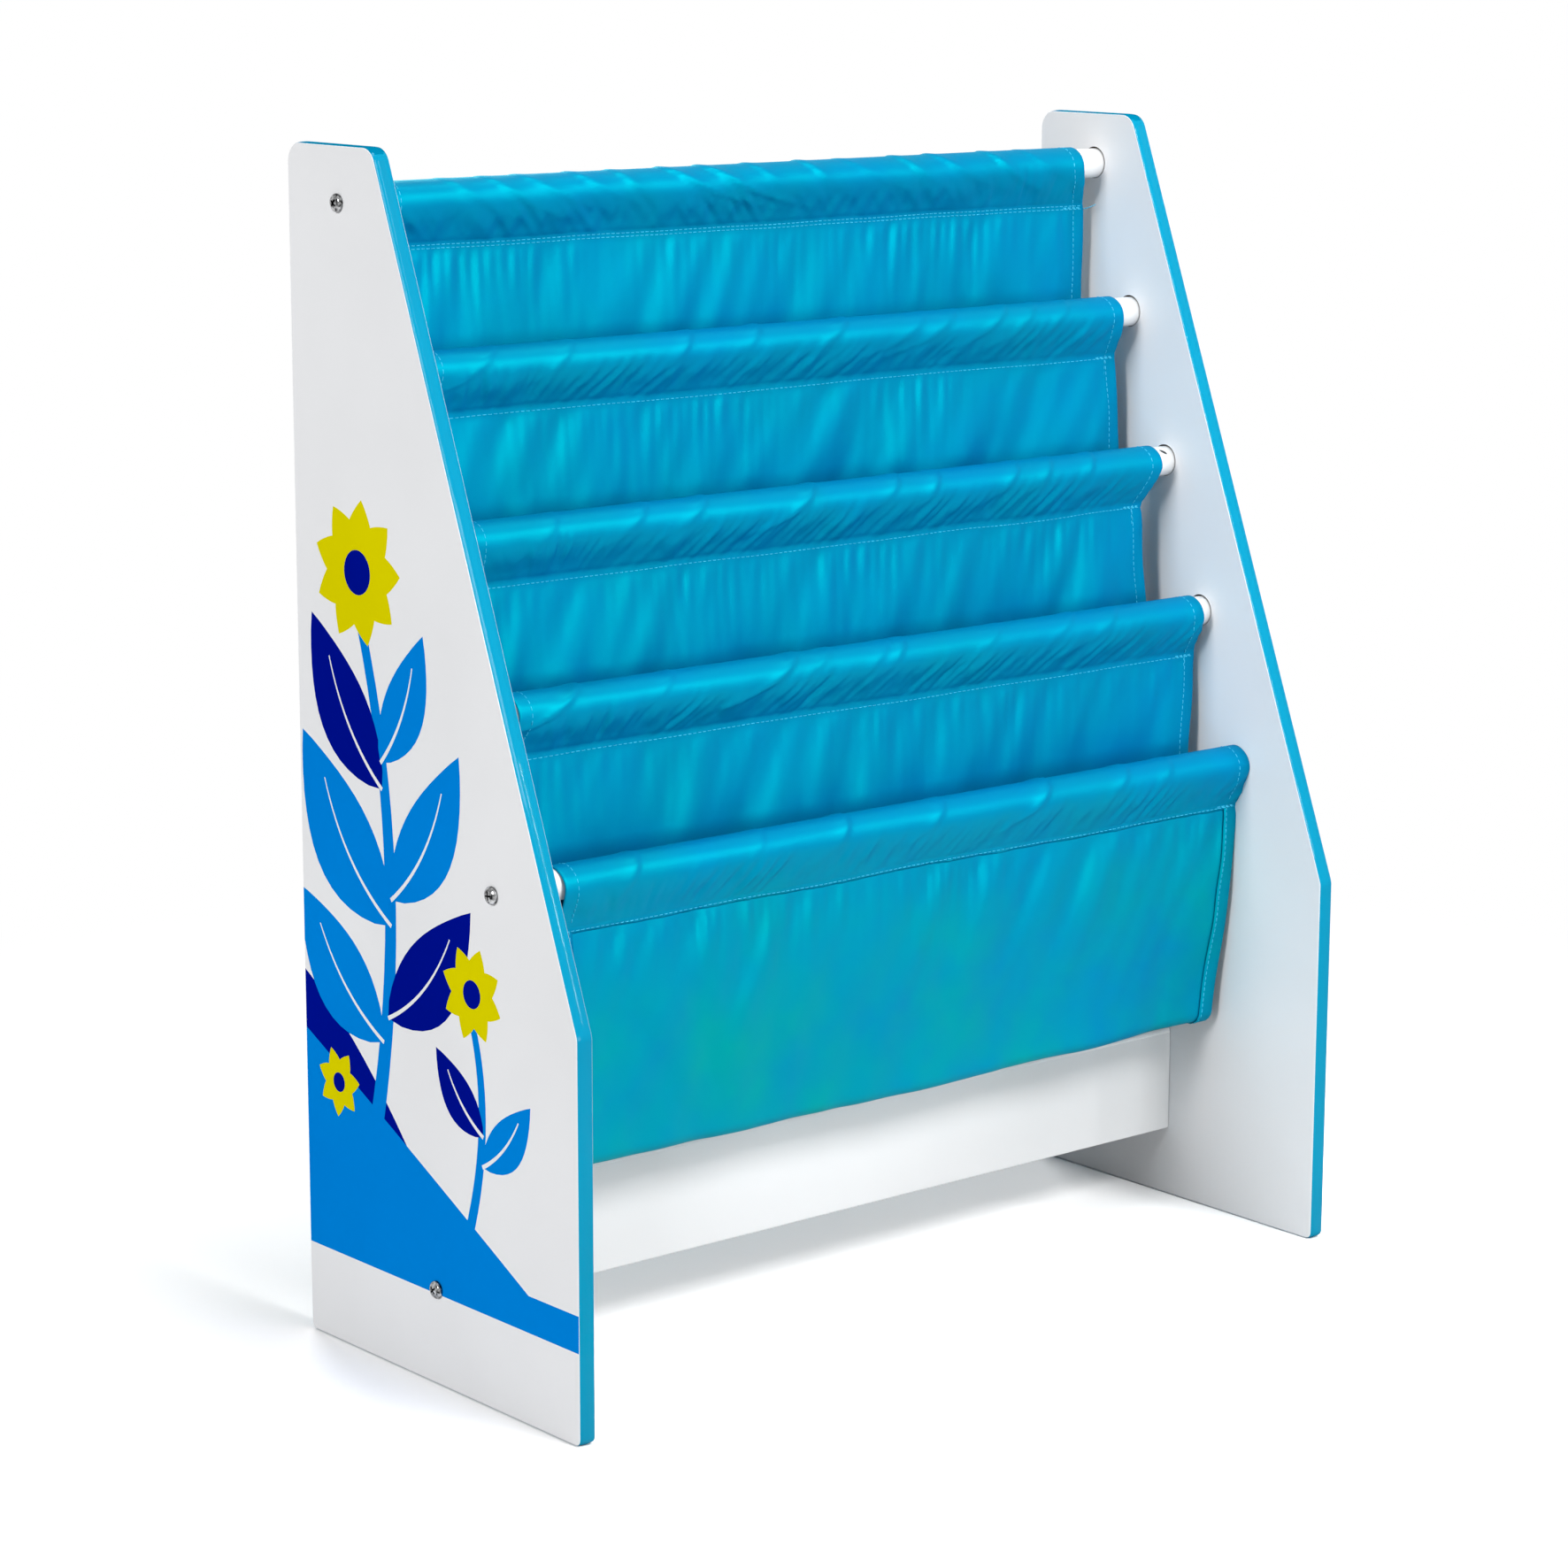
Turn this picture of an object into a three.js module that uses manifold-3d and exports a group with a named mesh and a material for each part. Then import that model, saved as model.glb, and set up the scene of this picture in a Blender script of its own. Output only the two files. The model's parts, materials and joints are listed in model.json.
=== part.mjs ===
// A sling bookshelf for children: two side panels, five round rails and a low cross bar, with a strip
// of thin cloth that is sewn round each rail and hangs in a pocket between one rail and the next.
// Millimetres. X runs across, Y to the back and Z up. The origin is on the floor, under the middle.

import * as THREE from 'three';
import { mergeVertices } from 'three/addons/utils/BufferGeometryUtils.js';
import Module from 'manifold-3d';

const wasm = await Module();
wasm.setup();

// Side panels
const overallHeight = 600;
const overallWidth = 508;
const overallDepth = 226;
const panelThickness = 9;
const topDepth = 71;
const kinkHeight = 199;
const topCornerRadius = 10;
const kinkRadius = 20;
const footCornerRadius = 4;
const panelEdgeRadius = 1;

// Rails: the row runs from the top rail to the bottom rail at even steps
const railCount = 5;
const railDiameter = 16;
const railEndChamfer = 1;
const topRailDrop = 27.4;
const topRailInset = 42.6;
const bottomRailHeight = 255.8;
const bottomRailInset = 65.2;
const socketDepth = 5;
const socketPlay = 0.6;

// Cross bar
const barHeight = 58.5;
const barThickness = 9;
const barFloorGap = 38.5;
const barFrontInset = 110.3;
const barTopEdgeRadius = 3;
const barLowEdgeRadius = 1;

// Screws
const screwDiameter = 4;
const screwLength = 45;
const screwTipLength = 5;
const screwHeadDiameter = 9;
const screwHeadHeight = 2.8;
const screwHeadRim = 0.9;
const recessLength = 5;
const recessWidth = 1;
const recessDepth = 1.4;
const barScrewHeight = 10.5;

// Locating dowels
const dowelDiameter = 6;
const dowelPanelDepth = 5;
const dowelBarDepth = 20;
const dowelChamfer = 0.6;
const dowelTopMargin = 16;

// Sling cloth
const clothThickness = 0.8;
const slingEndRoom = 14;
const topCreep = -1;
const bottomCreep = 12;
const creepPower = 1.4;
const seamDrop = 24.5;
const seamAllowance = 1.5;
const seamLayerGap = 0.6;
const sleeveSlack = 0.9;
const sleeveEndFlare = 1.2;
const sleeveRipples = 2.6;
const pocketDrop = 146.8;
const foldGather = 5;
const foldSag = 2.5;
const drapeWaves = [2.3, 4.1, 6.7];
const drapeWaveShares = [0.5, 0.3, 0.2];

// Pocket depths, as shares of the step back from one rail to the next
const foldPlaceShare = 0.54;
const foldRadiusShare = 0.2166;
const frontBulgeShare = 0.17;
const backSagShare = 0.1;
const drapeShare = 0.075;

// Clearances
const seatGap = 0.3;
const boreGap = 0.35;
const endGap = 0.5;
const cutOverrun = 2;

// Facets
const cornerSteps = 4;
const edgeSteps = 2;
const railSides = 32;
const boreSides = 16;
const headSteps = 5;
const sleeveArcSteps = 12;
const sleeveSideSteps = 2;
const sleeveRuns = 8;
const pocketRuns = 18;
const backSteps = 5;
const foldSteps = 5;
const frontSteps = 5;

// Places worked out from the sizes above
const backY = overallDepth / 2;
const frontY = -overallDepth / 2;
const outerX = overallWidth / 2;
const innerX = outerX - panelThickness;
const slingWidth = (innerX - slingEndRoom) * 2;
const railRadius = railDiameter / 2;
const screwRadius = screwDiameter / 2;
const lastRail = railCount - 1;
const barFrontY = frontY + barFrontInset;
const barMiddleY = barFrontY + barThickness / 2;
const barTop = barFloorGap + barHeight;
const barScrewZ = barFloorGap + barScrewHeight;
const dowelZ = barTop - dowelTopMargin;
const railEndX = innerX + socketDepth - seatGap;
const sides = { left: -1, right: 1 };

const materials = {
  panel: { color: 0xdfe1e5, roughness: 0.45, metalness: 0 },
  wood: { color: 0xe9e9e6, roughness: 0.4, metalness: 0 },
  dowel: { color: 0xc9a878, roughness: 0.7, metalness: 0 },
  cloth: { color: 0x009bc8, roughness: 0.6, metalness: 0 },
  screw: { color: 0xb4b4b2, roughness: 0.3, metalness: 1 },
};

const bookshelf = new THREE.Group();
bookshelf.name = 'sling_bookshelf';

function addPiece(name, geometry, finish) {
  const mesh = new THREE.Mesh(geometry, new THREE.MeshStandardMaterial(materials[finish]));
  mesh.name = name;
  bookshelf.add(mesh);
  return mesh;
}

// Solids

function closedMesh(geometry) {
  const bare = geometry.clone();
  bare.deleteAttribute('normal');
  bare.deleteAttribute('uv');
  const merged = mergeVertices(bare);
  const corners = merged.index.array;
  const kept = [];
  for (let i = 0; i < corners.length; i += 3) {
    const [a, b, c] = [corners[i], corners[i + 1], corners[i + 2]];
    if (a !== b && b !== c && c !== a) {
      kept.push(a, b, c);
    }
  }
  merged.setIndex(kept);
  return merged;
}

function solidOf(geometry) {
  const closed = closedMesh(geometry);
  return new wasm.Manifold(new wasm.Mesh({
    numProp: 3,
    vertProperties: new Float32Array(closed.attributes.position.array),
    triVerts: new Uint32Array(closed.index.array),
  }));
}

function cut(geometry, tools) {
  let solid = solidOf(geometry);
  for (const tool of tools) {
    solid = solid.subtract(solidOf(tool));
  }
  const mesh = solid.getMesh();
  const result = new THREE.BufferGeometry();
  result.setAttribute('position', new THREE.BufferAttribute(mesh.vertProperties, 3));
  result.setIndex(new THREE.BufferAttribute(mesh.triVerts, 1));
  result.computeVertexNormals();
  return result;
}

// A round rod along X between two places, for bores and sockets
function rodAlongX(radius, startX, endX, y, z, sideCount) {
  const length = Math.abs(endX - startX);
  const rod = new THREE.CylinderGeometry(radius, radius, length, sideCount);
  rod.rotateZ(Math.PI / 2);
  rod.translate((startX + endX) / 2, y, z);
  return rod;
}

// A turned rod along X with chamfered ends
function turnedRod(radius, chamfer, startX, endX, y, z, sideCount) {
  const half = Math.abs(endX - startX) / 2;
  const profile = [
    new THREE.Vector2(0, -half),
    new THREE.Vector2(radius - chamfer, -half),
    new THREE.Vector2(radius, -half + chamfer),
    new THREE.Vector2(radius, half - chamfer),
    new THREE.Vector2(radius - chamfer, half),
    new THREE.Vector2(0, half),
  ];
  const rod = new THREE.LatheGeometry(profile, sideCount);
  rod.rotateZ(-Math.PI / 2);
  rod.translate((startX + endX) / 2, y, z);
  return rod;
}

// An outline in the YZ plane, each corner [y, z, radius] rounded by an arc
function roundedOutline(corners) {
  const shape = new THREE.Shape();
  corners.forEach(([y, z, radius], i) => {
    const before = corners[(i + corners.length - 1) % corners.length];
    const after = corners[(i + 1) % corners.length];
    const corner = new THREE.Vector2(y, z);
    const toBefore = new THREE.Vector2(before[0], before[1]).sub(corner).normalize();
    const toAfter = new THREE.Vector2(after[0], after[1]).sub(corner).normalize();
    const halfAngle = Math.acos(toBefore.dot(toAfter)) / 2;
    const reach = radius / Math.tan(halfAngle);
    const start = corner.clone().addScaledVector(toBefore, reach);
    const end = corner.clone().addScaledVector(toAfter, reach);
    const inward = toBefore.clone().add(toAfter).normalize();
    const centre = corner.clone().addScaledVector(inward, radius / Math.sin(halfAngle));
    const startAngle = start.sub(centre).angle();
    const endAngle = end.sub(centre).angle();
    shape.absarc(centre.x, centre.y, radius, startAngle, endAngle, toBefore.cross(toAfter) > 0);
  });
  shape.closePath();
  return shape;
}

// A board whose face is a YZ outline, from one X to another, with softened edges
function board(shape, lowX, highX, edgeRadius) {
  const geometry = new THREE.ExtrudeGeometry(shape, {
    depth: highX - lowX - edgeRadius * 2,
    curveSegments: cornerSteps,
    bevelThickness: edgeRadius,
    bevelSize: edgeRadius,
    bevelOffset: -edgeRadius,
    bevelSegments: edgeSteps,
  });
  const yzx = new THREE.Matrix4().makeBasis(
    new THREE.Vector3(0, 1, 0),
    new THREE.Vector3(0, 0, 1),
    new THREE.Vector3(1, 0, 0),
  );
  geometry.applyMatrix4(yzx);
  geometry.translate(lowX + edgeRadius, 0, 0);
  return geometry;
}

// Where each rail's centre lies, counted from 0 at the top

function railPlace(index) {
  const along = index / lastRail;
  const topY = backY - topRailInset;
  const topZ = overallHeight - topRailDrop;
  const bottomY = frontY + bottomRailInset;
  return {
    y: THREE.MathUtils.lerp(topY, bottomY, along),
    z: THREE.MathUtils.lerp(topZ, bottomRailHeight, along),
  };
}

const rails = Array.from({ length: railCount }, (_, index) => railPlace(index));
const screwedRails = [0, lastRail];
const railStepY = rails[0].y - rails[1].y;
const foldRadius = railStepY * foldRadiusShare;

// Side panels: sockets and a dowel hole from inside, screw holes right through

function sidePanel(side) {
  const face = roundedOutline([
    [backY, 0, footCornerRadius],
    [backY, overallHeight, topCornerRadius],
    [backY - topDepth, overallHeight, topCornerRadius],
    [frontY, kinkHeight, kinkRadius],
    [frontY, 0, footCornerRadius],
  ]);
  const lowX = Math.min(side * outerX, side * innerX);
  const panel = board(face, lowX, lowX + panelThickness, panelEdgeRadius);
  const insideX = side * (innerX - cutOverrun);
  const outsideX = side * (outerX + cutOverrun);
  const socketZ = seatGap - socketPlay;
  const sockets = rails.map(({ y, z }) => rodAlongX(
    railRadius + socketPlay, insideX, side * (innerX + socketDepth), y, z - socketZ, railSides,
  ));
  const screwBores = screwedRails.map((index) => rodAlongX(
    screwRadius + boreGap, insideX, outsideX, rails[index].y, rails[index].z, boreSides,
  ));
  const barBore = rodAlongX(screwRadius + boreGap, insideX, outsideX, barMiddleY, barScrewZ, boreSides);
  const dowelHole = rodAlongX(
    dowelDiameter / 2 + boreGap, insideX, side * (innerX + dowelPanelDepth), barMiddleY, dowelZ, boreSides,
  );
  return cut(panel, [...sockets, ...screwBores, barBore, dowelHole]);
}

// Screws: a domed head with a cross recess, a plain shank and a point, lying along X

function screwAt(side, y, z) {
  const headRadius = screwHeadDiameter / 2;
  const profile = [];
  for (let i = 0; i <= headSteps; i += 1) {
    const angle = (i / headSteps) * (Math.PI / 2);
    const dome = screwHeadHeight - screwHeadRim;
    profile.push(new THREE.Vector2(headRadius * Math.sin(angle), screwHeadRim + dome * Math.cos(angle)));
  }
  profile.push(new THREE.Vector2(headRadius, 0));
  profile.push(new THREE.Vector2(screwRadius, 0));
  profile.push(new THREE.Vector2(screwRadius, screwTipLength - screwLength));
  profile.push(new THREE.Vector2(0, -screwLength));
  const blank = new THREE.LatheGeometry(profile.reverse(), boreSides);
  const slots = [0, Math.PI / 2].map((turn) => {
    const slot = new THREE.BoxGeometry(recessLength, recessDepth * 2, recessWidth);
    slot.rotateY(turn);
    slot.translate(0, screwHeadHeight, 0);
    return slot;
  });
  const screw = cut(blank, slots);
  screw.rotateZ(-side * Math.PI / 2);
  screw.translate(side * (outerX + seatGap), y, z);
  return screw;
}

// The hole that a screw makes in the end grain of a rail or of the bar
function pilotHole(side, endX, y, z) {
  const depth = outerX + seatGap - screwLength - endGap;
  return rodAlongX(screwRadius + boreGap, side * (endX + cutOverrun), side * depth, y, z, boreSides);
}

function rail(index) {
  const { y, z } = rails[index];
  const rod = turnedRod(railRadius, railEndChamfer, -railEndX, railEndX, y, z, railSides);
  if (!screwedRails.includes(index)) {
    return rod;
  }
  return cut(rod, Object.values(sides).map((side) => pilotHole(side, railEndX, y, z)));
}

function crossBar() {
  const section = roundedOutline([
    [barFrontY + barThickness, barFloorGap, barLowEdgeRadius],
    [barFrontY + barThickness, barTop, barTopEdgeRadius],
    [barFrontY, barTop, barTopEdgeRadius],
    [barFrontY, barFloorGap, barLowEdgeRadius],
  ]);
  const barEndX = innerX - seatGap;
  const bar = board(section, -barEndX, barEndX, 0);
  const holes = Object.values(sides).flatMap((side) => [
    pilotHole(side, barEndX, barMiddleY, barScrewZ),
    rodAlongX(
      dowelDiameter / 2 + boreGap,
      side * (barEndX + cutOverrun),
      side * (innerX - dowelBarDepth),
      barMiddleY,
      dowelZ,
      boreSides,
    ),
  ]);
  return cut(bar, holes);
}

function locatingDowel(side) {
  const outerEnd = side * (innerX + dowelPanelDepth - seatGap);
  const innerEnd = side * (innerX - dowelBarDepth + seatGap);
  return turnedRod(dowelDiameter / 2, dowelChamfer, innerEnd, outerEnd, barMiddleY, dowelZ, boreSides);
}

// Cloth: a body is a grid of points over two skins, joined along all its edges

function pointGrid(rows, columns, place) {
  const grid = [];
  for (let row = 0; row <= rows; row += 1) {
    for (let column = 0; column <= columns; column += 1) {
      grid.push(...place(row, column));
    }
  }
  return grid;
}

function quad(list, a, b, c, d) {
  list.push(a, b, c, a, c, d);
}

// How far the cloth has crept to the right at a place along the rail row, counted in rails
function creepAt(place) {
  return topCreep + (bottomCreep - topCreep) * (place / lastRail) ** creepPower;
}

// Half of a teardrop loop round a rail: up the front from the seam, over the rail and down the back
function teardrop(radius, halfWidth, drop, slack) {
  const tangent = Math.asin(radius / drop);
  const startY = -radius * Math.cos(tangent);
  const startZ = -radius * Math.sin(tangent);
  const points = [];
  for (let i = 0; i < sleeveSideSteps; i += 1) {
    const along = i / sleeveSideSteps;
    points.push([
      THREE.MathUtils.lerp(-halfWidth, startY, along) - slack * Math.sin(along * Math.PI),
      THREE.MathUtils.lerp(-drop, startZ, along),
    ]);
  }
  for (let i = 0; i <= sleeveArcSteps; i += 1) {
    const angle = Math.PI + tangent - (i / sleeveArcSteps) * (Math.PI + tangent * 2);
    const side = Math.max(0, -Math.sin(angle)) * slack;
    points.push([(radius + side) * Math.cos(angle), radius * Math.sin(angle)]);
  }
  const back = points.slice(0, sleeveSideSteps).reverse().map(([y, z]) => [-y, z]);
  return points.concat(back);
}

// A sleeve: the cloth round one rail, closed by the seam below it and open at both ends
function sleeve(index) {
  const { y: railY, z: railZ } = rails[index];
  const innerRadius = (railRadius + seatGap) / Math.cos(Math.PI / sleeveArcSteps);
  const outerRadius = innerRadius + clothThickness;
  const outerHalf = clothThickness + seamLayerGap / 2;
  const loopAt = (run, skin) => {
    const share = run / sleeveRuns;
    const ripple = Math.sin((share * sleeveRipples + index) * Math.PI * 2) ** 2;
    const towardsEnd = Math.abs(share - 0.5) * 2;
    const slack = sleeveSlack * ripple + sleeveEndFlare * towardsEnd ** 4;
    return skin === 0
      ? teardrop(innerRadius, seatGap / 2, seamDrop, slack)
      : teardrop(outerRadius, outerHalf, seamDrop + seamAllowance, slack);
  };
  const around = loopAt(0, 0).length;
  const positions = [];
  for (const skin of [0, 1]) {
    positions.push(...pointGrid(sleeveRuns, around - 1, (run, i) => {
      const [y, z] = loopAt(run, skin)[i];
      const x = creepAt(index) + (run / sleeveRuns - 0.5) * slingWidth;
      return [x, railY + y, railZ + z];
    }));
  }
  const at = (skin, run, i) => (skin * (sleeveRuns + 1) + run) * around + (i % around);
  const faces = [];
  for (let i = 0; i < around; i += 1) {
    for (let run = 0; run < sleeveRuns; run += 1) {
      quad(faces, at(0, run, i), at(0, run, i + 1), at(0, run + 1, i + 1), at(0, run + 1, i));
      quad(faces, at(1, run, i), at(1, run + 1, i), at(1, run + 1, i + 1), at(1, run, i + 1));
    }
    quad(faces, at(0, 0, i), at(1, 0, i), at(1, 0, i + 1), at(0, 0, i + 1));
    quad(
      faces,
      at(0, sleeveRuns, i),
      at(0, sleeveRuns, i + 1),
      at(1, sleeveRuns, i + 1),
      at(1, sleeveRuns, i),
    );
  }
  return clothGeometry(positions, faces);
}

function clothGeometry(positions, faces) {
  const geometry = new THREE.BufferGeometry();
  geometry.setAttribute('position', new THREE.Float32BufferAttribute(positions, 3));
  geometry.setIndex(faces);
  geometry.computeVertexNormals();
  return geometry;
}

// The side view of a pocket: down from the upper seam, round the fold and up to the lower seam
function pocketPath(index) {
  const upper = rails[index];
  const lower = rails[index + 1];
  const layerY = (seamLayerGap + clothThickness) / 2;
  const edgeDrop = seamDrop + seamAllowance + seatGap;
  const foldY = lower.y + railStepY * foldPlaceShare;
  const foldZ = lower.z - pocketDrop + foldRadius;
  const start = new THREE.Vector2(upper.y - layerY, upper.z - edgeDrop);
  const foldBack = new THREE.Vector2(foldY + foldRadius, foldZ);
  const foldFront = new THREE.Vector2(foldY - foldRadius, foldZ);
  const end = new THREE.Vector2(lower.y + layerY, lower.z - edgeDrop);
  const backBend = start.clone().lerp(foldBack, 0.5).add(new THREE.Vector2(railStepY * backSagShare, 0));
  const frontBend = foldFront.clone().lerp(end, 0.5).add(new THREE.Vector2(-railStepY * frontBulgeShare, 0));
  const path = new THREE.QuadraticBezierCurve(start, backBend, foldBack).getPoints(backSteps);
  for (let i = 1; i < foldSteps; i += 1) {
    const angle = (-i / foldSteps) * Math.PI;
    path.push(new THREE.Vector2(foldY + foldRadius * Math.cos(angle), foldZ + foldRadius * Math.sin(angle)));
  }
  path.push(...new THREE.QuadraticBezierCurve(foldFront, frontBend, end).getPoints(frontSteps));
  return path;
}

// Shallow upright folds in hanging cloth, from -1 to 1 across the width
function drape(across, index) {
  return drapeWaves.reduce((sum, waves, i) => (
    sum + drapeWaveShares[i] * Math.sin((across * waves + index * waves * waves) * Math.PI * 2)
  ), 0);
}

// A pocket: one loop of cloth from the seam below a rail to the seam below the next
function pocket(index) {
  const path = pocketPath(index);
  const steps = path.length - 1;
  const positions = [];
  for (const skin of [-1, 1]) {
    positions.push(...pointGrid(steps, pocketRuns, (step, run) => {
      const before = path[Math.max(step - 1, 0)];
      const after = path[Math.min(step + 1, steps)];
      const along = after.clone().sub(before).normalize();
      const share = step / steps;
      const low = Math.sin(share * Math.PI);
      const across = run / pocketRuns;
      const sway = railStepY * drapeShare * low * drape(across, index);
      const sag = foldSag * low * Math.sin(across * Math.PI);
      const half = skin * clothThickness / 2;
      const x = creepAt(index + share) + (across - 0.5) * (slingWidth - foldGather * 2 * low);
      return [
        x,
        path[step].x + along.y * half + sway,
        path[step].y - along.x * half - sag,
      ];
    }));
  }
  const at = (skin, step, run) => (skin * (steps + 1) + step) * (pocketRuns + 1) + run;
  const faces = [];
  for (let step = 0; step < steps; step += 1) {
    for (let run = 0; run < pocketRuns; run += 1) {
      quad(faces, at(0, step, run), at(0, step, run + 1), at(0, step + 1, run + 1), at(0, step + 1, run));
      quad(faces, at(1, step, run), at(1, step + 1, run), at(1, step + 1, run + 1), at(1, step, run + 1));
    }
    quad(faces, at(0, step, 0), at(0, step + 1, 0), at(1, step + 1, 0), at(1, step, 0));
    quad(
      faces,
      at(0, step, pocketRuns),
      at(1, step, pocketRuns),
      at(1, step + 1, pocketRuns),
      at(0, step + 1, pocketRuns),
    );
  }
  for (let run = 0; run < pocketRuns; run += 1) {
    quad(faces, at(0, 0, run), at(1, 0, run), at(1, 0, run + 1), at(0, 0, run + 1));
    quad(faces, at(0, steps, run), at(0, steps, run + 1), at(1, steps, run + 1), at(1, steps, run));
  }
  return clothGeometry(positions, faces);
}

// The assembly

for (const [sideName, side] of Object.entries(sides)) {
  addPiece(`side_panel_${sideName}`, sidePanel(side), 'panel');
  for (const index of screwedRails) {
    const { y, z } = rails[index];
    addPiece(`rail_${index + 1}_screw_${sideName}`, screwAt(side, y, z), 'screw');
  }
  addPiece(`cross_bar_screw_${sideName}`, screwAt(side, barMiddleY, barScrewZ), 'screw');
  addPiece(`locating_dowel_${sideName}`, locatingDowel(side), 'dowel');
}

addPiece('cross_bar', crossBar(), 'wood');

rails.forEach((_, index) => {
  addPiece(`rail_${index + 1}`, rail(index), 'wood');
  addPiece(`sleeve_${index + 1}`, sleeve(index), 'cloth');
  if (index < lastRail) {
    addPiece(`pocket_${index + 1}`, pocket(index), 'cloth');
  }
});

export default bookshelf;
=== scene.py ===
# A sling bookshelf for children: painted panels, rails and bar, chromed screws and a hemmed, sewn sling.
# Metres. X runs across, Y to the back and Z up.

import json
import math

import bpy
import numpy as np
from mathutils import Matrix, Vector
from mathutils.geometry import delaunay_2d_cdt

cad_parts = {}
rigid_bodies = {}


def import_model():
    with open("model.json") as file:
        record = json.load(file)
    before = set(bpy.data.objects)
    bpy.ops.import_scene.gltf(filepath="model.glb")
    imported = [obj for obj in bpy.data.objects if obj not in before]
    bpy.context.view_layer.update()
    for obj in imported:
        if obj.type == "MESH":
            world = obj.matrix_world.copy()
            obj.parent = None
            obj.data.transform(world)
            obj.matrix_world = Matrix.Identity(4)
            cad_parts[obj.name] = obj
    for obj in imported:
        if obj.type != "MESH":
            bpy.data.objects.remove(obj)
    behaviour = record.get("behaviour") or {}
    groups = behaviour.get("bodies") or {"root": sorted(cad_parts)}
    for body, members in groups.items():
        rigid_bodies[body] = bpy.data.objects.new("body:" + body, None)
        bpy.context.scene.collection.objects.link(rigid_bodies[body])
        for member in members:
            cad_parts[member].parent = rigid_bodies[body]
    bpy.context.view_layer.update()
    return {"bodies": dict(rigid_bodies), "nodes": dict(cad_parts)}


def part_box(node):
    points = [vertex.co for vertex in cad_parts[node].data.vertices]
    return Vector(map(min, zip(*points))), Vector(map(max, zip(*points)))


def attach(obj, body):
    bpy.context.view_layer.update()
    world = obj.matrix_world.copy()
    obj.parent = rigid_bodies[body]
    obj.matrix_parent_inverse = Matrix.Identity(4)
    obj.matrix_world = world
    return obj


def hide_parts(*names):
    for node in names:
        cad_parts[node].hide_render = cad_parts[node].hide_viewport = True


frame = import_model()

# Places taken from the frame

RAILS = range(5)
POCKETS = range(4)
SCREWED_RAILS = (0, 4)
CHIPPED_RAIL = 2
SIDES = {"left": -1, "right": 1}


def middle(node):
    low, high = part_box(node)
    return (low + high) / 2


def side_place(node):
    """Where the middle of a node lies in the side view."""
    place = middle(node)
    return place.y, place.z


rail_middles = [middle(f"rail_{k + 1}") for k in RAILS]
rail_low, rail_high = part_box("rail_1")
panel_low, panel_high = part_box("side_panel_right")
bar_low, bar_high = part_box("cross_bar")
sleeve_low, sleeve_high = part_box("sleeve_1")
RAIL_RADIUS = (rail_high.z - rail_low.z) / 2
RAIL_END = rail_high.x
INNER_X, FRONT_Y, _ = panel_low
OUTER_X, BACK_Y, TOP_Z = panel_high
BAR_SCREW = side_place("cross_bar_screw_right")
DOWEL_PLACE = side_place("locating_dowel_right")
DOWEL_INNER_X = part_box("locating_dowel_right")[0].x
SLING_WIDTH = sleeve_high.x - sleeve_low.x
HALF_WIDTH = SLING_WIDTH / 2

# Sizes of the boards and rails

TOP_DEPTH = 0.071
KINK_HEIGHT = 0.199
TOP_CORNER_RADIUS = 0.010
KINK_RADIUS = 0.011
FOOT_CORNER_RADIUS = 0.004
CORNER_STEPS = 10
PANEL_EDGE_RADIUS = 0.0007
PANEL_EDGE_CROWN = 0.00036
EDGE_ARC_STEPS = 4
EDGE_CROWN_STEPS = 6
WHITE_EDGE_STRIPS = 2
TOP_EDGE_DEPTH = 0.0035
SOCKET_PLAY = 0.0006
SOCKET_DEPTH = 0.005
SOCKET_DROP = 0.0003
BORE_RADIUS = 0.00235
DOWEL_HOLE_RADIUS = 0.00335
BAR_TOP_RADIUS = 0.003
BAR_LOW_RADIUS = 0.001
RAIL_END_ROUND = 0.001
RAIL_END_STEPS = 4
RAIL_SIDES = 72

# Screws

SCREW_LENGTH = 0.045
SCREW_RADIUS = 0.002
SCREW_CORE_RADIUS = 0.0014
SCREW_TIP_LENGTH = 0.006
SCREW_TIP_SHARE = 0.02
SCREW_SHARP_ANGLE = math.radians(35)
THREAD_PITCH = 0.0018
THREAD_START = 0.006
RIDGE_SLOPE = 4
SHANK_SIDES = 20
SHANK_STEPS_PER_TURN = 8
HEAD_RADIUS = 0.0045
HEAD_HEIGHT = 0.0028
HEAD_RIM = 0.0007
HEAD_BEVEL = 0.0002
HEAD_GAP = 0.0003
DOME_STEPS = 14
RECESS_LENGTH = 0.0052
RECESS_WIDTH = 0.0011
RECESS_DEPTH = 0.0016
RECESS_LOW_LENGTH = RECESS_LENGTH * 0.56
RECESS_LOW_WIDTH = RECESS_WIDTH * 0.70
RECESS_ABOVE_HEAD_FOOT = 0.0003
RECESS_BELOW_DOME = 0.0001
CUTTER_SPARE = 0.0005
PILOT_SPARE = 0.0005
SCREW_TIP_X = OUTER_X + HEAD_GAP - SCREW_LENGTH
SCREW_TURNS = {"rail_1_screw": 0.35, "rail_5_screw": 1.1, "cross_bar_screw": 0.15}


# Material nodes

def linear(hex_code):
    """The linear colour of a hex code written as it should look."""
    channels = [int(hex_code[i:i + 2], 16) / 255 for i in (0, 2, 4)]
    return tuple(c / 12.92 if c <= 0.04045 else ((c + 0.055) / 1.055) ** 2.4 for c in channels) + (1,)


def set_inputs(tree, node, inputs):
    """Gives each named or numbered input its value, or a link where that is another node's output."""
    for name, value in inputs.items():
        if isinstance(value, bpy.types.NodeSocket):
            tree.links.new(value, node.inputs[name])
        else:
            node.inputs[name].default_value = value


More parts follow.
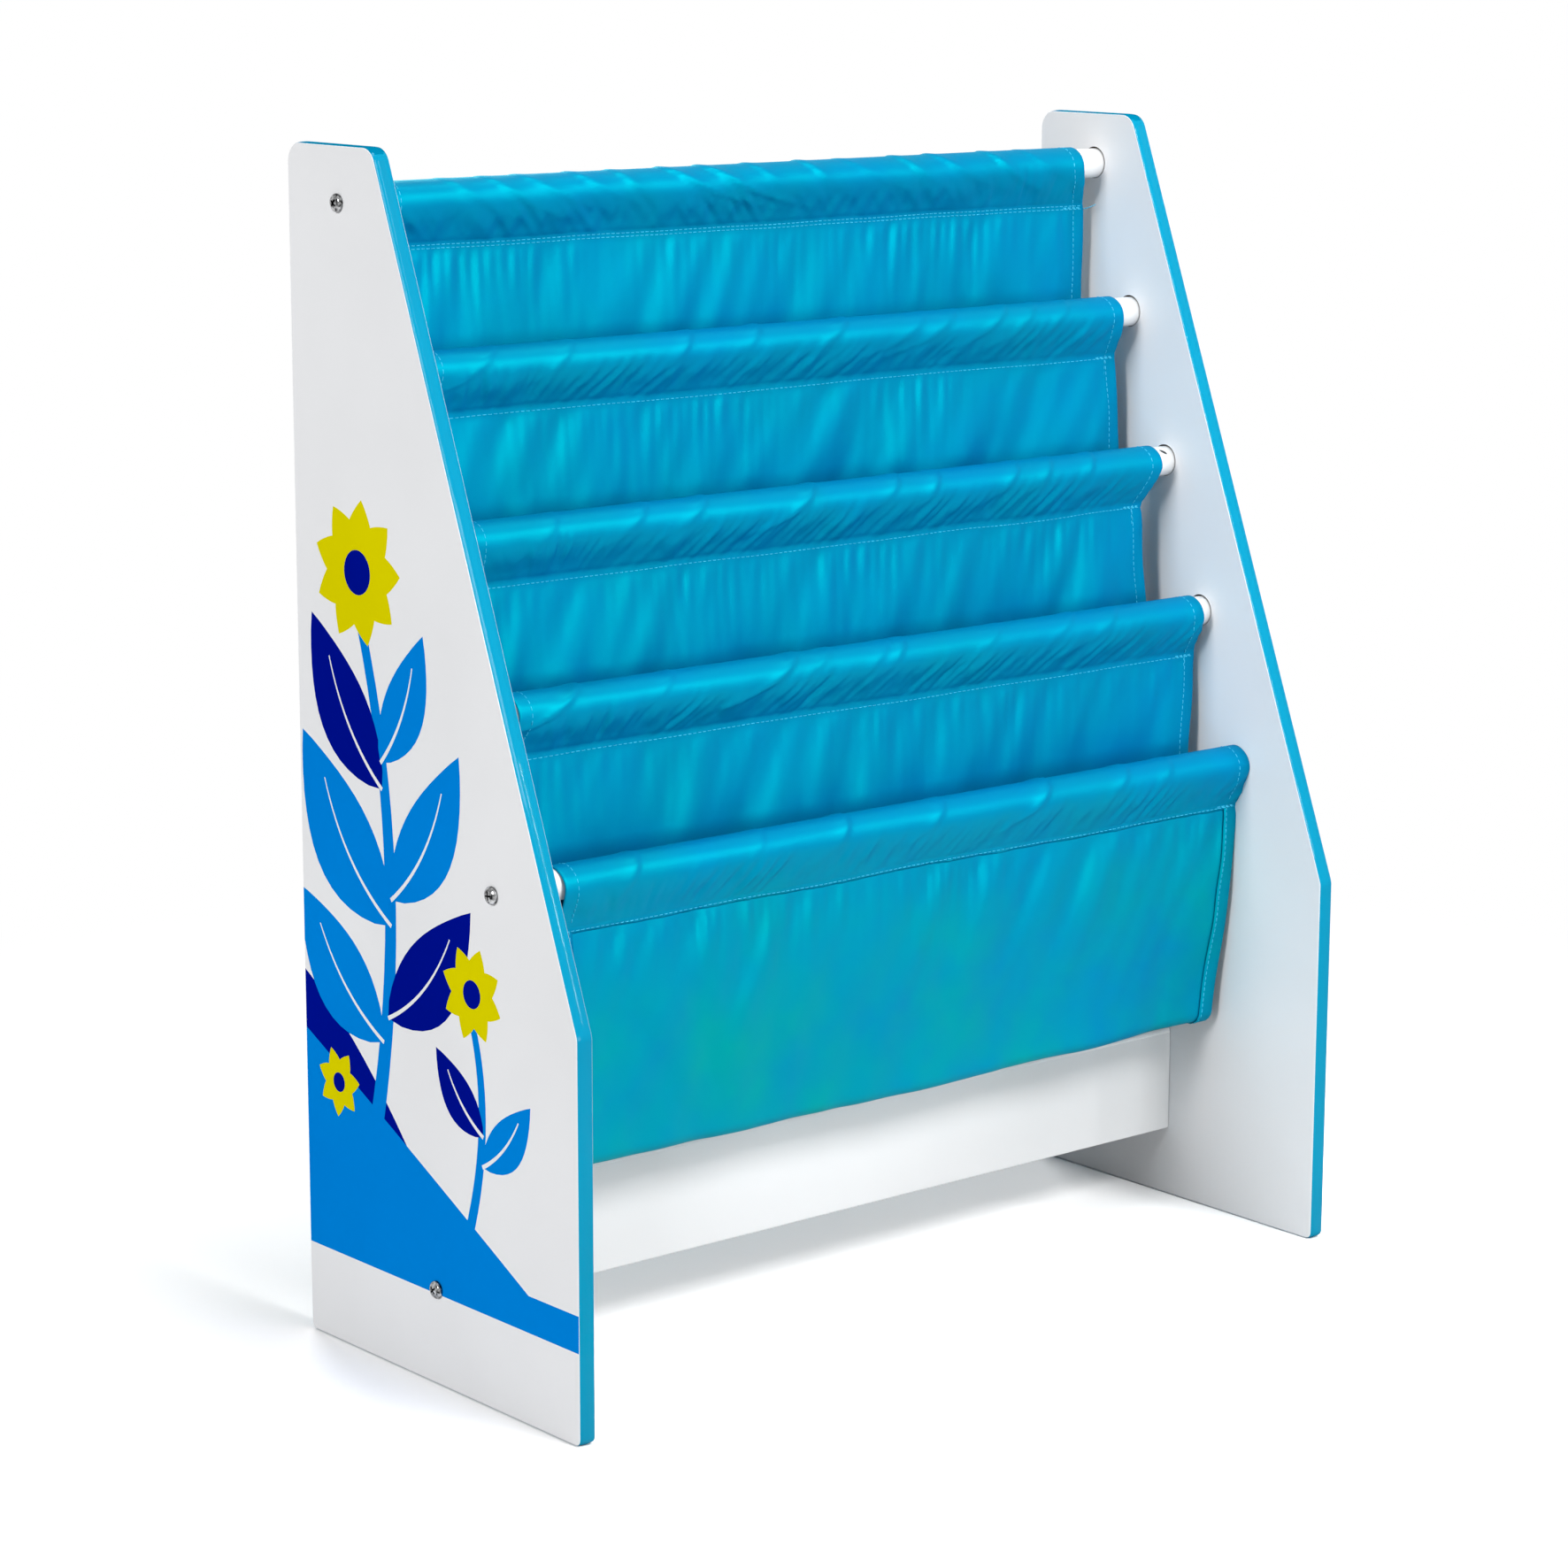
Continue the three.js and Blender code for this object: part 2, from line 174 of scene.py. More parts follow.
def add_node(tree, kind, inputs, **settings):
    node = tree.nodes.new("ShaderNode" + kind)
    for name, value in settings.items():
        setattr(node, name, value)
    set_inputs(tree, node, inputs)
    return node


def noise_texture(tree, place, scale, detail=2.0):
    return add_node(tree, "TexNoise", {"Vector": place, "Scale": scale, "Detail": detail}).outputs["Fac"]


def ramp(tree, factor, low, high, low_place=0.35, high_place=0.65):
    node = add_node(tree, "ValToRGB", {"Fac": factor})
    elements = node.color_ramp.elements
    elements[0].position = low_place
    elements[0].color = low
    elements[1].position = high_place
    elements[1].color = high
    return node.outputs["Color"]


def map_range(tree, value, low, high, kind="LINEAR"):
    """0 where the value is low and 1 where it is high."""
    inputs = {"Value": value, "From Min": low, "From Max": high}
    return add_node(tree, "MapRange", inputs, interpolation_type=kind).outputs["Result"]


def calculated(tree, operation, *values):
    return add_node(tree, "Math", dict(enumerate(values)), operation=operation).outputs["Value"]


def distance_from_zero(tree, place):
    return add_node(tree, "VectorMath", {0: place}, operation="LENGTH").outputs["Value"]


def bump(tree, height, strength, distance):
    inputs = {"Height": height, "Strength": strength, "Distance": distance}
    return add_node(tree, "Bump", inputs).outputs["Normal"]


def mixed_shader(tree, share, first, second):
    return add_node(tree, "MixShader", {"Fac": share, 1: first, 2: second}).outputs["Shader"]


def new_material(name):
    """A new material with its node tree, its shader node and its coordinates."""
    material = bpy.data.materials.new(name)
    material.use_nodes = True
    tree = material.node_tree
    return material, tree, tree.nodes["Principled BSDF"], add_node(tree, "TexCoord", {}).outputs


# Materials. Each ripple is its scale, detail, strength and distance.

PAINT_CLOUD = 9.0
PAINT_RIPPLE = (900.0, 3.0, 0.35, 0.00004)
# Scale of the dark and bright mottling in the chrome's colour: painted reflection.
METAL_REFLECTION_MOTTLE = 500.0
METAL_RIPPLE = (2500.0, 2.0, 0.2, 0.00003)
THREAD_FUZZ = 1500.0


def two_tone(name, colour, shade, scale, inputs, ripple=None):
    """A material in two tones that change places at one scale, on a smooth or a rippled surface."""
    material, tree, shader, coordinates = new_material(name)
    cloud = noise_texture(tree, coordinates["Object"], scale)
    set_inputs(tree, shader, {"Base Color": ramp(tree, cloud, linear(shade), linear(colour)), **inputs})
    if ripple:
        height = noise_texture(tree, coordinates["Object"], *ripple[:2])
        set_inputs(tree, shader, {"Normal": bump(tree, height, *ripple[2:])})
    return material


def paint(name, colour, shade, roughness, coat=0.0, gloss=0.25, coat_roughness=0.12):
    """Sprayed paint: an even colour with a faint cloudiness and a very shallow ripple."""
    return two_tone(name, colour, shade, PAINT_CLOUD, {
        "Roughness": roughness,
        "Specular IOR Level": gloss,
        "Coat Weight": coat,
        "Coat Roughness": coat_roughness,
    }, PAINT_RIPPLE)


def metal(name, colour, shade, roughness):
    return two_tone(name, colour, shade, METAL_REFLECTION_MOTTLE, {"Metallic": 1.0, "Roughness": roughness}, METAL_RIPPLE)


CHIP_HALF_SIZES = (0.0026, 0.0010, 0.0014)
CHIP_OUTER_SHARE = 1.1
CHIP_INNER_SHARE = 0.8
CHIP_FROM_PANEL = 0.0065
CHIP_HEIGHT_ANGLE = math.radians(47)
CHIP_TURN = math.radians(-40)


def chipped(material):
    """The paint with one small slot-shaped chip beside the third rail's right socket."""
    tree = material.node_tree
    shader = tree.nodes["Principled BSDF"]
    outwards = Vector((0, -math.cos(CHIP_HEIGHT_ANGLE), math.sin(CHIP_HEIGHT_ANGLE)))
    upwards = Vector((0, math.sin(CHIP_HEIGHT_ANGLE), math.cos(CHIP_HEIGHT_ANGLE)))
    across = Vector((1, 0, 0))
    along = across * math.cos(CHIP_TURN) + upwards * math.sin(CHIP_TURN)
    beside = upwards * math.cos(CHIP_TURN) - across * math.sin(CHIP_TURN)
    centre = rail_middles[CHIPPED_RAIL]
    local = add_node(tree, "Mapping", {
        "Vector": add_node(tree, "TexCoord", {}).outputs["Object"],
        "Location": Vector((INNER_X - CHIP_FROM_PANEL, centre.y, centre.z)) + outwards * RAIL_RADIUS,
        "Rotation": Matrix((along, beside, along.cross(beside))).transposed().to_euler(),
        "Scale": CHIP_HALF_SIZES,
    }, vector_type="TEXTURE")
    distance = distance_from_zero(tree, local.outputs["Vector"])
    inside = map_range(tree, distance, CHIP_OUTER_SHARE, CHIP_INNER_SHARE)
    painted = shader.inputs["Base Color"].links[0].from_socket
    mix = add_node(tree, "Mix", {0: inside, 6: painted, 7: linear("2E2E30")}, data_type="RGBA")
    set_inputs(tree, shader, {"Base Color": mix.outputs[2]})
    return material


# Below about 0.26 m the cloth turns greener and its blotches grow stronger. The greener tint is painted light
# coming through the front pocket.
CLOTH_FADE_TOP = 0.26
CLOTH_FADE_LOW = 0.16
CLOTH_LEVEL = (0.30, 0.27)
CLOTH_GAIN = (0.85, 0.30)
CLOUD_CENTRING = (1.6, -0.8)
WEAVE_STRETCHES = ((2600.0, 260.0, 1.0), (260.0, 2600.0, 1.0))
LIGHT_THROUGH_CLOTH = 0.22
CLOTH_SHINE = 0.115


def cloth_material(name, colour, shade):
    """Thin plain-woven polyester: fine weave, a slight shine, and some light coming through."""
    material, tree, shader, coordinates = new_material(name)
    cloud = noise_texture(tree, coordinates["Object"], scale=17.0, detail=3.0)
    height = add_node(tree, "SeparateXYZ", {"Vector": coordinates["Object"]}).outputs["Z"]
    # Lower down, a greener tint, which is painted light coming through the front pocket, and stronger
    # blotches.
    low = map_range(tree, height, CLOTH_FADE_TOP, CLOTH_FADE_LOW)
    level = calculated(tree, "MULTIPLY_ADD", low, *CLOTH_LEVEL)
    gain = calculated(tree, "MULTIPLY_ADD", low, *CLOTH_GAIN)
    centred = calculated(tree, "MULTIPLY_ADD", cloud, *CLOUD_CENTRING)
    patches = calculated(tree, "MULTIPLY_ADD", centred, gain, level)
    tint = ramp(tree, patches, linear(shade), linear(colour), 0.0, 1.0)
    threads = []
    for stretch in WEAVE_STRETCHES:
        scaled = add_node(tree, "Mapping", {"Vector": coordinates["UV"], "Scale": stretch})
        threads.append(noise_texture(tree, scaled.outputs["Vector"], scale=1.0, detail=1.0))
    weave = bump(tree, calculated(tree, "ADD", *threads), strength=0.5, distance=0.00006)
    set_inputs(tree, shader, {
        "Base Color": tint,
        "Roughness": 0.5,
        "Specular IOR Level": 0.05,
        "Specular Tint": linear("00E4FF"),
        "Normal": weave,
    })
    through = add_node(tree, "BsdfTranslucent", {"Color": tint, "Normal": weave})
    shine = add_node(tree, "BsdfAnisotropic", {"Color": linear("00FFEE"), "Roughness": 0.43, "Normal": weave})
    cloth = mixed_shader(tree, LIGHT_THROUGH_CLOTH, shader.outputs["BSDF"], through.outputs["BSDF"])
    satin = mixed_shader(tree, CLOTH_SHINE, cloth, shine.outputs["BSDF"])
    set_inputs(tree, tree.nodes["Material Output"], {"Surface": satin})
    return material


def wood_material(name, colour, shade):
    """Bare wood with its grain along X."""
    material, tree, shader, coordinates = new_material(name)
    scaled = add_node(tree, "Mapping", {"Vector": coordinates["Object"], "Scale": (60.0, 900.0, 900.0)})
    grain = noise_texture(tree, scaled.outputs["Vector"], scale=1.0, detail=4.0)
    set_inputs(tree, shader, {
        "Base Color": ramp(tree, grain, linear(shade), linear(colour)),
        "Roughness": 0.65,
        "Normal": bump(tree, grain, strength=0.4, distance=0.0001),
    })
    return material


FACE_PAINT = paint("white_face_paint", "EDEEF0", "E9EAEC", 0.42)
RAIL_PAINT = paint("white_rail_paint", "E9EAEB", "E5E6E7", 0.38, 0.05)
CHIPPED_PAINT = chipped(paint("chipped_rail_paint", "E9EAEB", "E5E6E7", 0.38, 0.05))
EDGE_PAINT = paint("blue_edge_paint", "008CB0", "0088AC", 0.3, 0.15, 0.0, coat_roughness=0.04)
# The face's white paint where it wraps round the rims. It is whiter than the face paint, which is partly a
# painted highlight along the rims.
RIM_PAINT_AND_HIGHLIGHT = paint("white_rim_paint_and_painted_highlight", "FEFEFE", "FCFCFD", 0.3, 0.6)
# Darker, matt blue for the top edges. The matt finish is real; the darker colour is painted shade.
SHADED_TOP_EDGE_PAINT = paint("blue_top_edge_painted_shade", "00789C", "007498", 0.5, 0.0, 0.0)
PRINT_BLUE = paint("print_blue", "0084DE", "0080DA", 0.40, 0.0, 0.0)
PRINT_NAVY = paint("print_navy", "001090", "000F8A", 0.40, 0.0, 0.0)
PRINT_YELLOW = paint("print_yellow", "DED400", "D8CE00", 0.40, 0.0, 0.0)
PRINT_WHITE = paint("print_white", "EDEEF0", "E9EAEC", 0.42)
SLING_CLOTH = cloth_material("sling_polyester", "008A94", "0066B4")
STITCH_THREAD = two_tone("stitch_thread", "36C8E8", "149ECA", THREAD_FUZZ, {"Roughness": 0.5})
# Chrome whose colour is mottled from near black to bright grey: painted reflection.
SCREW_METAL = metal("screw_chrome", "BCBDBE", "1E1F20", 0.13)
# A darker chrome for the cross recess: painted shade in the slots.
SHADED_RECESS_METAL = metal("recess_chrome_painted_shade", "2E2F31", "1E1F20", 0.35)
BARE_BEECH = wood_material("bare_beech", "D3B07C", "B88F5C")
# Bare fibreboard in the drilled holes, made darker than bare board as painted shade in the gaps round the
# rails.
DARKENED_BARE_FIBREBOARD = paint("bare_fibreboard_and_painted_shade", "6E5A45", "5C4A38", 0.9, 0.0, 0.1)


# Meshes

ROUND_SIDES = 48
CUT_TOLERANCE = 1e-8
PLANE_TOLERANCE = 1e-7
SHARE_TOLERANCE = 1e-6


def add_object(name, vertices, faces, materials, smooth=True, material_indexes=None):
    mesh = bpy.data.meshes.new(name)
    mesh.from_pydata([tuple(v) for v in vertices], [], [tuple(f) for f in faces])
    for material in materials:
        mesh.materials.append(material)
    flags = [smooth] * len(faces) if isinstance(smooth, bool) else list(smooth)
    mesh.polygons.foreach_set("use_smooth", flags)
    if material_indexes is not None:
        mesh.polygons.foreach_set("material_index", list(material_indexes))
    mesh.validate()
    mesh.update()
    piece = bpy.data.objects.new(name, mesh)
    bpy.context.scene.collection.objects.link(piece)
    return piece


def angles_round(sides):
    return [math.tau * i / sides for i in range(sides)]


def circle(y, z, radius, sides=ROUND_SIDES):
    return [np.array([y + radius * math.cos(a), z + radius * math.sin(a)]) for a in angles_round(sides)]


def triangles(outline, holes, motifs):
    """Cuts a flat face with holes into triangles, each with the number of the motif on top of it."""
    loops = [outline, *holes, *[points for points, _ in motifs]]
    coordinates = []
    numbered = []
    for loop in loops:
        numbered.append(list(range(len(coordinates), len(coordinates) + len(loop))))
        coordinates.extend(Vector(point) for point in loop)
    places, _, found, _, _, sources = delaunay_2d_cdt(coordinates, [], numbered, 0, CUT_TOLERANCE)
    kept = []
    for corners, source in zip(found, sources):
        inside = set(source)
        if 0 not in inside or any(1 <= number <= len(holes) for number in inside):
            continue
        top = max(inside)
        kept.append((corners, motifs[top - len(holes) - 1][1] if top > len(holes) else FACE))
    return [np.array(place) for place in places], kept


class Patchwork:
    """Faces gathered from several makers, with vertices at the same place joined."""

    def __init__(self):
        self.vertices = []
        self.numbers = {}
        self.faces = []
        self.smooth = []
        self.materials = []

    def vertex(self, point):
        key = tuple(round(value, 8) for value in point)
        if key not in self.numbers:
            self.numbers[key] = len(self.vertices)
            self.vertices.append(tuple(point))
        return self.numbers[key]

    def face(self, points, material, smooth=True, flip=False):
        corners = []
        for point in points:
            number = self.vertex(point)
            if number not in corners:
                corners.append(number)
        if len(corners) > 2:
            self.faces.append(corners[::-1] if flip else corners)
            self.smooth.append(smooth)
            self.materials.append(material)

    def strip(self, first, second, material, smooth=True, flip=False):
        """Quads between two closed loops of as many points."""
        count = len(first)
        for i in range(count):
            after = (i + 1) % count
            self.face([first[i], first[after], second[after], second[i]], material, smooth, flip)

    def flat_face(self, x, outline, holes, motifs, flip):
        """A flat face at x. It gives back all places that the face uses."""
        places, cut = triangles(outline, holes, motifs)
        for numbers, material in cut:
            self.face([(x, *places[n]) for n in numbers], material, False, flip)
        return places

    def turned(self, profile, y, z, sides, material=0, flip=False):
        """A surface turned about a line along X. The profile is (x, radius)."""
        loops = [[(x, *point) for point in circle(y, z, radius, sides)] for x, radius in profile]
        for j in range(len(loops) - 1):
            flat = abs(profile[j][0] - profile[j + 1][0]) < PLANE_TOLERANCE
            self.strip(loops[j], loops[j + 1], material, not flat, flip)

    def bore(self, x, inwards, y, z, profile, material, flip):
        """The wall of a hole in the face at x. The profile is its radii and depths."""
        places = [(x + inwards * depth, radius) for radius, depth in profile]
        self.turned(places, y, z, ROUND_SIDES, material, flip)

    def build(self, name, materials):
        return add_object(name, self.vertices, self.faces, materials, self.smooth, self.materials)


def lathe(name, profile, y, z, sides, material):
    """A turned piece along X. The profile is (x, radius) and starts and ends on the axis."""
    work = Patchwork()
    work.turned(profile, y, z, sides)
    return work.build(name, [material])


def tube_faces(ring_count, sides):
    """The faces of a closed tube whose vertices come ring by ring."""
    faces = []
    last = (ring_count - 1) * sides
    for low in range(0, last, sides):
        for i in range(sides):
            after = (i + 1) % sides
            faces.append((low + i, low + after, low + sides + after, low + sides + i))
    return faces + [tuple(range(sides))[::-1], tuple(range(last, last + sides))]


def rounded_outline(corners, inset):
    """A closed outline, counter-clockwise, of corners (y, z, radius), drawn in by inset."""
    points = []
    for i, (y, z, radius) in enumerate(corners):
        corner = np.array([y, z])
        before = np.array(corners[i - 1][:2]) - corner
        after = np.array(corners[(i + 1) % len(corners)][:2]) - corner
        before /= np.linalg.norm(before)
        after /= np.linalg.norm(after)
        half = math.acos(np.clip(before @ after, -1, 1)) / 2
        inward = (before + after) / np.linalg.norm(before + after)
        centre = corner + inward * radius / math.sin(half)
        angles = []
        for along in (before, after):
            normal = np.array([along[1], -along[0]])
            if normal @ inward > 0:
                normal = -normal
            angles.append(math.atan2(normal[1], normal[0]))
        sweep = (angles[1] - angles[0]) % math.tau
        for j in range(CORNER_STEPS + 1):
            angle = angles[0] + sweep * j / CORNER_STEPS
            points.append(centre + (radius - inset) * np.array([math.cos(angle), math.sin(angle)]))
    return points


def outline_places(points, places):
    """Where along the outline each place that lies on it is: (number of the side, share), in order."""
    found = set()
    for i, start in enumerate(points):
        along = points[(i + 1) % len(points)] - start
        length = np.linalg.norm(along)
        for place in places:
            offset = place - start
            share = offset @ along / length ** 2
            away = abs(offset[0] * along[1] - offset[1] * along[0]) / length
            if away < PLANE_TOLERANCE and -SHARE_TOLERANCE < share < 1 - SHARE_TOLERANCE:
                found.add((i, round(max(share, 0.0), 7)))
    return sorted(found)


def at_places(points, found):
    return [points[i] * (1 - share) + points[(i + 1) % len(points)] * share for i, share in found]


# The generic print of a flowering plant

FACE, EDGE, BLUE, NAVY, YELLOW, WHITE, TOP_EDGE, SOCKET_WALL, RIM = range(9)
PANEL_MATERIALS = [
    FACE_PAINT, EDGE_PAINT, PRINT_BLUE, PRINT_NAVY, PRINT_YELLOW, PRINT_WHITE, SHADED_TOP_EDGE_PAINT,
    DARKENED_BARE_FIBREBOARD, RIM_PAINT_AND_HIGHLIGHT]
BAND_LOW = 0.0465
BAND_HIGH = 0.0650
HILL_FOOT = BAND_HIGH - 0.001
PRINT_BACK = BACK_Y + 0.02
PRINT_FRONT = FRONT_Y - 0.02
LEAF_STEPS = 14
LEAF_LEAN = 0.85
LEAF_FULLNESS = 0.9
STROKE_STEPS = 16
HILL_STEPS = 24
RIB_REACH = 0.75
RIB_WIDTHS = (0.0022, 0.0008)
PETAL_WIDTH_SHARE = 0.62
PETAL_TURN = 0.3
CORE_SIDES = 40


def left_of(along):
    """The direction square to another, to its left."""
    return np.array([-along[1], along[0]]) / np.linalg.norm(along)


def curve(start, control, end, share):
    return start * (1 - share) ** 2 + control * 2 * share * (1 - share) + end * share ** 2


def leaf(base, tip, width, bend=0.0):
    """A pointed leaf between two points, as an outline."""
    base = np.array(base)
    along = np.array(tip) - base
    edges = []
    for sign in (1, -1):
        edge = []
        for i in range(LEAF_STEPS + 1):
            share = i / LEAF_STEPS
            swell = math.sin(math.pi * share ** LEAF_LEAN) ** LEAF_FULLNESS if 0 < share < 1 else 0.0
            off = sign * width / 2 * swell + bend * 4 * share * (1 - share)
            edge.append(base + along * share + left_of(along) * off)
        edges.append(edge)
    return edges[0] + edges[1][-2:0:-1]


def stroke(points, widths):
    """A tapering line through three points, as an outline."""
    start, control, end = (np.array(point) for point in points)
    left = []
    right = []
    for i in range(STROKE_STEPS + 1):
        share = i / STROKE_STEPS
        place = curve(start, control, end, share)
        side = left_of((control - start) * (1 - share) + (end - control) * share)
        half = (widths[0] * (1 - share) + widths[1] * share) / 2
        left.append(place + side * half)
        right.append(place - side * half)
    return left + right[::-1]


def hill(low_y, heights):
    """A rounded hill from a low place to the back edge: heights at its start, middle and end."""
    ridge = []
    for i in range(HILL_STEPS + 1):
        share = i / HILL_STEPS
        ridge.append(np.array([low_y + (PRINT_BACK - low_y) * share, HILL_FOOT + curve(*heights, share)]))
    return [np.array([PRINT_BACK, HILL_FOOT]), *ridge[::-1], np.array([low_y, HILL_FOOT])]


def flower(y, z, radius, petals, core):
    shapes = []
    for angle in angles_round(petals):
        turned = angle + PETAL_TURN
        tip = (y + radius * math.cos(turned), z + radius * math.sin(turned))
        shapes.append((leaf((y, z), tip, radius * PETAL_WIDTH_SHARE), YELLOW))
    return [*shapes, (circle(y, z, core, CORE_SIDES), NAVY)]


def counter_clockwise(points):
    area = sum(a[0] * b[1] - b[0] * a[1] for a, b in zip(points, points[1:] + points[:1]))
    return points if area > 0 else points[::-1]


def print_motifs():
    """The print, lowest layer first: a plain band, two hills, stems, leaves and flowers."""
    band_low = [(PRINT_FRONT, BAND_LOW), (PRINT_BACK, BAND_LOW)]
    band_high = [(PRINT_BACK, BAND_HIGH), (PRINT_FRONT, BAND_HIGH)]
    shapes = [
        ([np.array(point) for point in band_low + band_high], BLUE),
        (hill(-0.015, (0.0, 0.105, 0.135)), NAVY),
        (hill(-0.075, (0.0, 0.055, 0.105)), BLUE),
        (stroke(((0.052, 0.120), (0.018, 0.250), (0.058, 0.372)), (0.011, 0.007)), BLUE),
        (stroke(((-0.022, 0.075), (-0.048, 0.140), (-0.030, 0.190)), (0.007, 0.005)), BLUE),
    ]
    leaves = [
        ((0.044, 0.165), (0.116, 0.232), 0.046, -0.006, BLUE),
        ((0.040, 0.178), (-0.030, 0.244), 0.042, 0.006, NAVY),
        ((0.036, 0.225), (0.110, 0.312), 0.052, -0.008, BLUE),
        ((0.036, 0.238), (-0.022, 0.318), 0.040, 0.006, BLUE),
        ((0.042, 0.292), (0.100, 0.372), 0.042, -0.006, NAVY),
        ((0.043, 0.305), (0.006, 0.372), 0.032, 0.004, BLUE),
        ((-0.037, 0.120), (-0.076, 0.158), 0.024, 0.003, BLUE),
        ((-0.038, 0.135), (0.000, 0.172), 0.024, -0.003, NAVY),
    ]
    for base, tip, width, bend, colour in leaves:
        shapes.append((leaf(base, tip, width, bend), colour))
        rib = np.array(tip) * RIB_REACH + np.array(base) * (1 - RIB_REACH)
        knee = (np.array(base) + rib) / 2 + left_of(rib - np.array(base)) * bend * 2
        shapes.append((stroke((base, knee, rib), RIB_WIDTHS), WHITE))
    shapes += flower(0.060, 0.396, 0.036, 9, 0.011)
    shapes += flower(-0.030, 0.204, 0.024, 8, 0.007)
    shapes += flower(0.084, 0.136, 0.018, 7, 0.005)
    return [(counter_clockwise(points), colour) for points, colour in shapes]


# Side panels

PANEL_CORNERS = [
    (FRONT_Y, 0.0, FOOT_CORNER_RADIUS),
    (BACK_Y, 0.0, FOOT_CORNER_RADIUS),
    (BACK_Y, TOP_Z, TOP_CORNER_RADIUS),
    (BACK_Y - TOP_DEPTH, TOP_Z, TOP_CORNER_RADIUS),
    (FRONT_Y, KINK_HEIGHT, KINK_RADIUS),
]
PANEL_THICKNESS = OUTER_X - INNER_X


def panel_holes():
    """The holes from the inner face: (y, z, profile of radii and depths), a blind one ending at radius 0."""
    socket = RAIL_RADIUS + SOCKET_PLAY
    through = [(BORE_RADIUS, SOCKET_DEPTH), (BORE_RADIUS, PANEL_THICKNESS)]
    holes = []
    for k in RAILS:
        profile = [(socket, 0.0), (socket, SOCKET_DEPTH)]
        profile += through if k in SCREWED_RAILS else [(0.0, SOCKET_DEPTH)]
        holes.append((rail_middles[k].y, rail_middles[k].z + SOCKET_DROP, profile))
    holes.append((*BAR_SCREW, [(BORE_RADIUS, 0.0), (BORE_RADIUS, PANEL_THICKNESS)]))
    blind = [(DOWEL_HOLE_RADIUS, 0.0), (DOWEL_HOLE_RADIUS, SOCKET_DEPTH), (0.0, SOCKET_DEPTH)]
    return [*holes, (*DOWEL_PLACE, blind)]


def quarter_round(radius, steps):
    """From a face round to the side: (how far drawn in, depth)."""
    angles = [math.pi / 2 * i / steps for i in range(steps + 1)]
    return [(radius * (1 - math.sin(angle)), radius * (1 - math.cos(angle))) for angle in angles]


def edge_rings():
    """The edge from face to face: (how far drawn in, depth), rounded at both rims and crowned between."""
    arc = quarter_round(PANEL_EDGE_RADIUS, EDGE_ARC_STEPS)
    crown = []
    for j in range(1, EDGE_CROWN_STEPS):
        share = j / EDGE_CROWN_STEPS
        depth = PANEL_EDGE_RADIUS + (PANEL_THICKNESS - 2 * PANEL_EDGE_RADIUS) * share
        crown.append((-PANEL_EDGE_CROWN * 4 * share * (1 - share), depth))
    back = [(inset, PANEL_THICKNESS - depth) for inset, depth in reversed(arc)]
    return [(inset + PANEL_EDGE_CROWN, depth) for inset, depth in arc + crown + back]


def side_panel(side_name, side):
    work = Patchwork()
    flip = side > 0
    face_x = side * OUTER_X
    back_x = side * INNER_X
    holes = panel_holes()
    through = [circle(y, z, profile[-1][0]) for y, z, profile in holes if profile[-1][0] > 0]
    mouths = [circle(y, z, profile[0][0]) for y, z, profile in holes]
    # The flat faces end a crown's height outside the first and the last ring of the edge.
    face_line = rounded_outline(PANEL_CORNERS, PANEL_EDGE_RADIUS)
    places = work.flat_face(face_x, face_line, through, print_motifs(), not flip)
    on_line = outline_places(face_line, places)
    work.flat_face(back_x, at_places(face_line, on_line), mouths, [], flip)
    loops = []
    for inset, depth in edge_rings():
        line = at_places(rounded_outline(PANEL_CORNERS, inset), on_line)
        loops.append([(face_x - side * depth, *point) for point in line])
    # The strips nearest each face carry the white paint round the rim, in the whiter rim paint that is partly
    # a painted highlight.
    for j in range(len(loops) - 1):
        white = min(j, len(loops) - 2 - j) < WHITE_EDGE_STRIPS
        work.strip(loops[j], loops[j + 1], RIM if white else EDGE, True, not flip)
    # Edge faces along the top take the darker top edge paint, which is painted shade.
    for number, face in enumerate(work.faces):
        if work.materials[number] == EDGE and min(work.vertices[n][2] for n in face) > TOP_Z - TOP_EDGE_DEPTH:
            work.materials[number] = TOP_EDGE
    # The hole walls take the darkened bare fibreboard, which is partly painted shade.
    for y, z, profile in holes:
        work.bore(back_x, side, y, z, profile, SOCKET_WALL, not flip)
    panel = work.build(f"painted_panel_{side_name}", PANEL_MATERIALS)
    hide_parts(f"side_panel_{side_name}")
    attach(panel, "frame")


# Rails and cross bar

def rail(index):
    rounding = quarter_round(RAIL_END_ROUND, RAIL_END_STEPS)
    half = [(RAIL_END - back, RAIL_RADIUS - drop) for drop, back in rounding]
    if index in SCREWED_RAILS:
        bottom = SCREW_TIP_X - PILOT_SPARE
        half = [(bottom, 0.0), (bottom, BORE_RADIUS), (RAIL_END, BORE_RADIUS), *half]
    else:
        half = [(RAIL_END, 0.0), *half]
    profile = half + [(-x, radius) for x, radius in half[::-1]]
    place = rail_middles[index]
    material = CHIPPED_PAINT if index == CHIPPED_RAIL else RAIL_PAINT
    piece = lathe(f"painted_rail_{index + 1}", profile, place.y, place.z, RAIL_SIDES, material)
    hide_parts(f"rail_{index + 1}")
    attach(piece, f"rail_{index + 1}" if f"rail_{index + 1}" in frame["bodies"] else "frame")


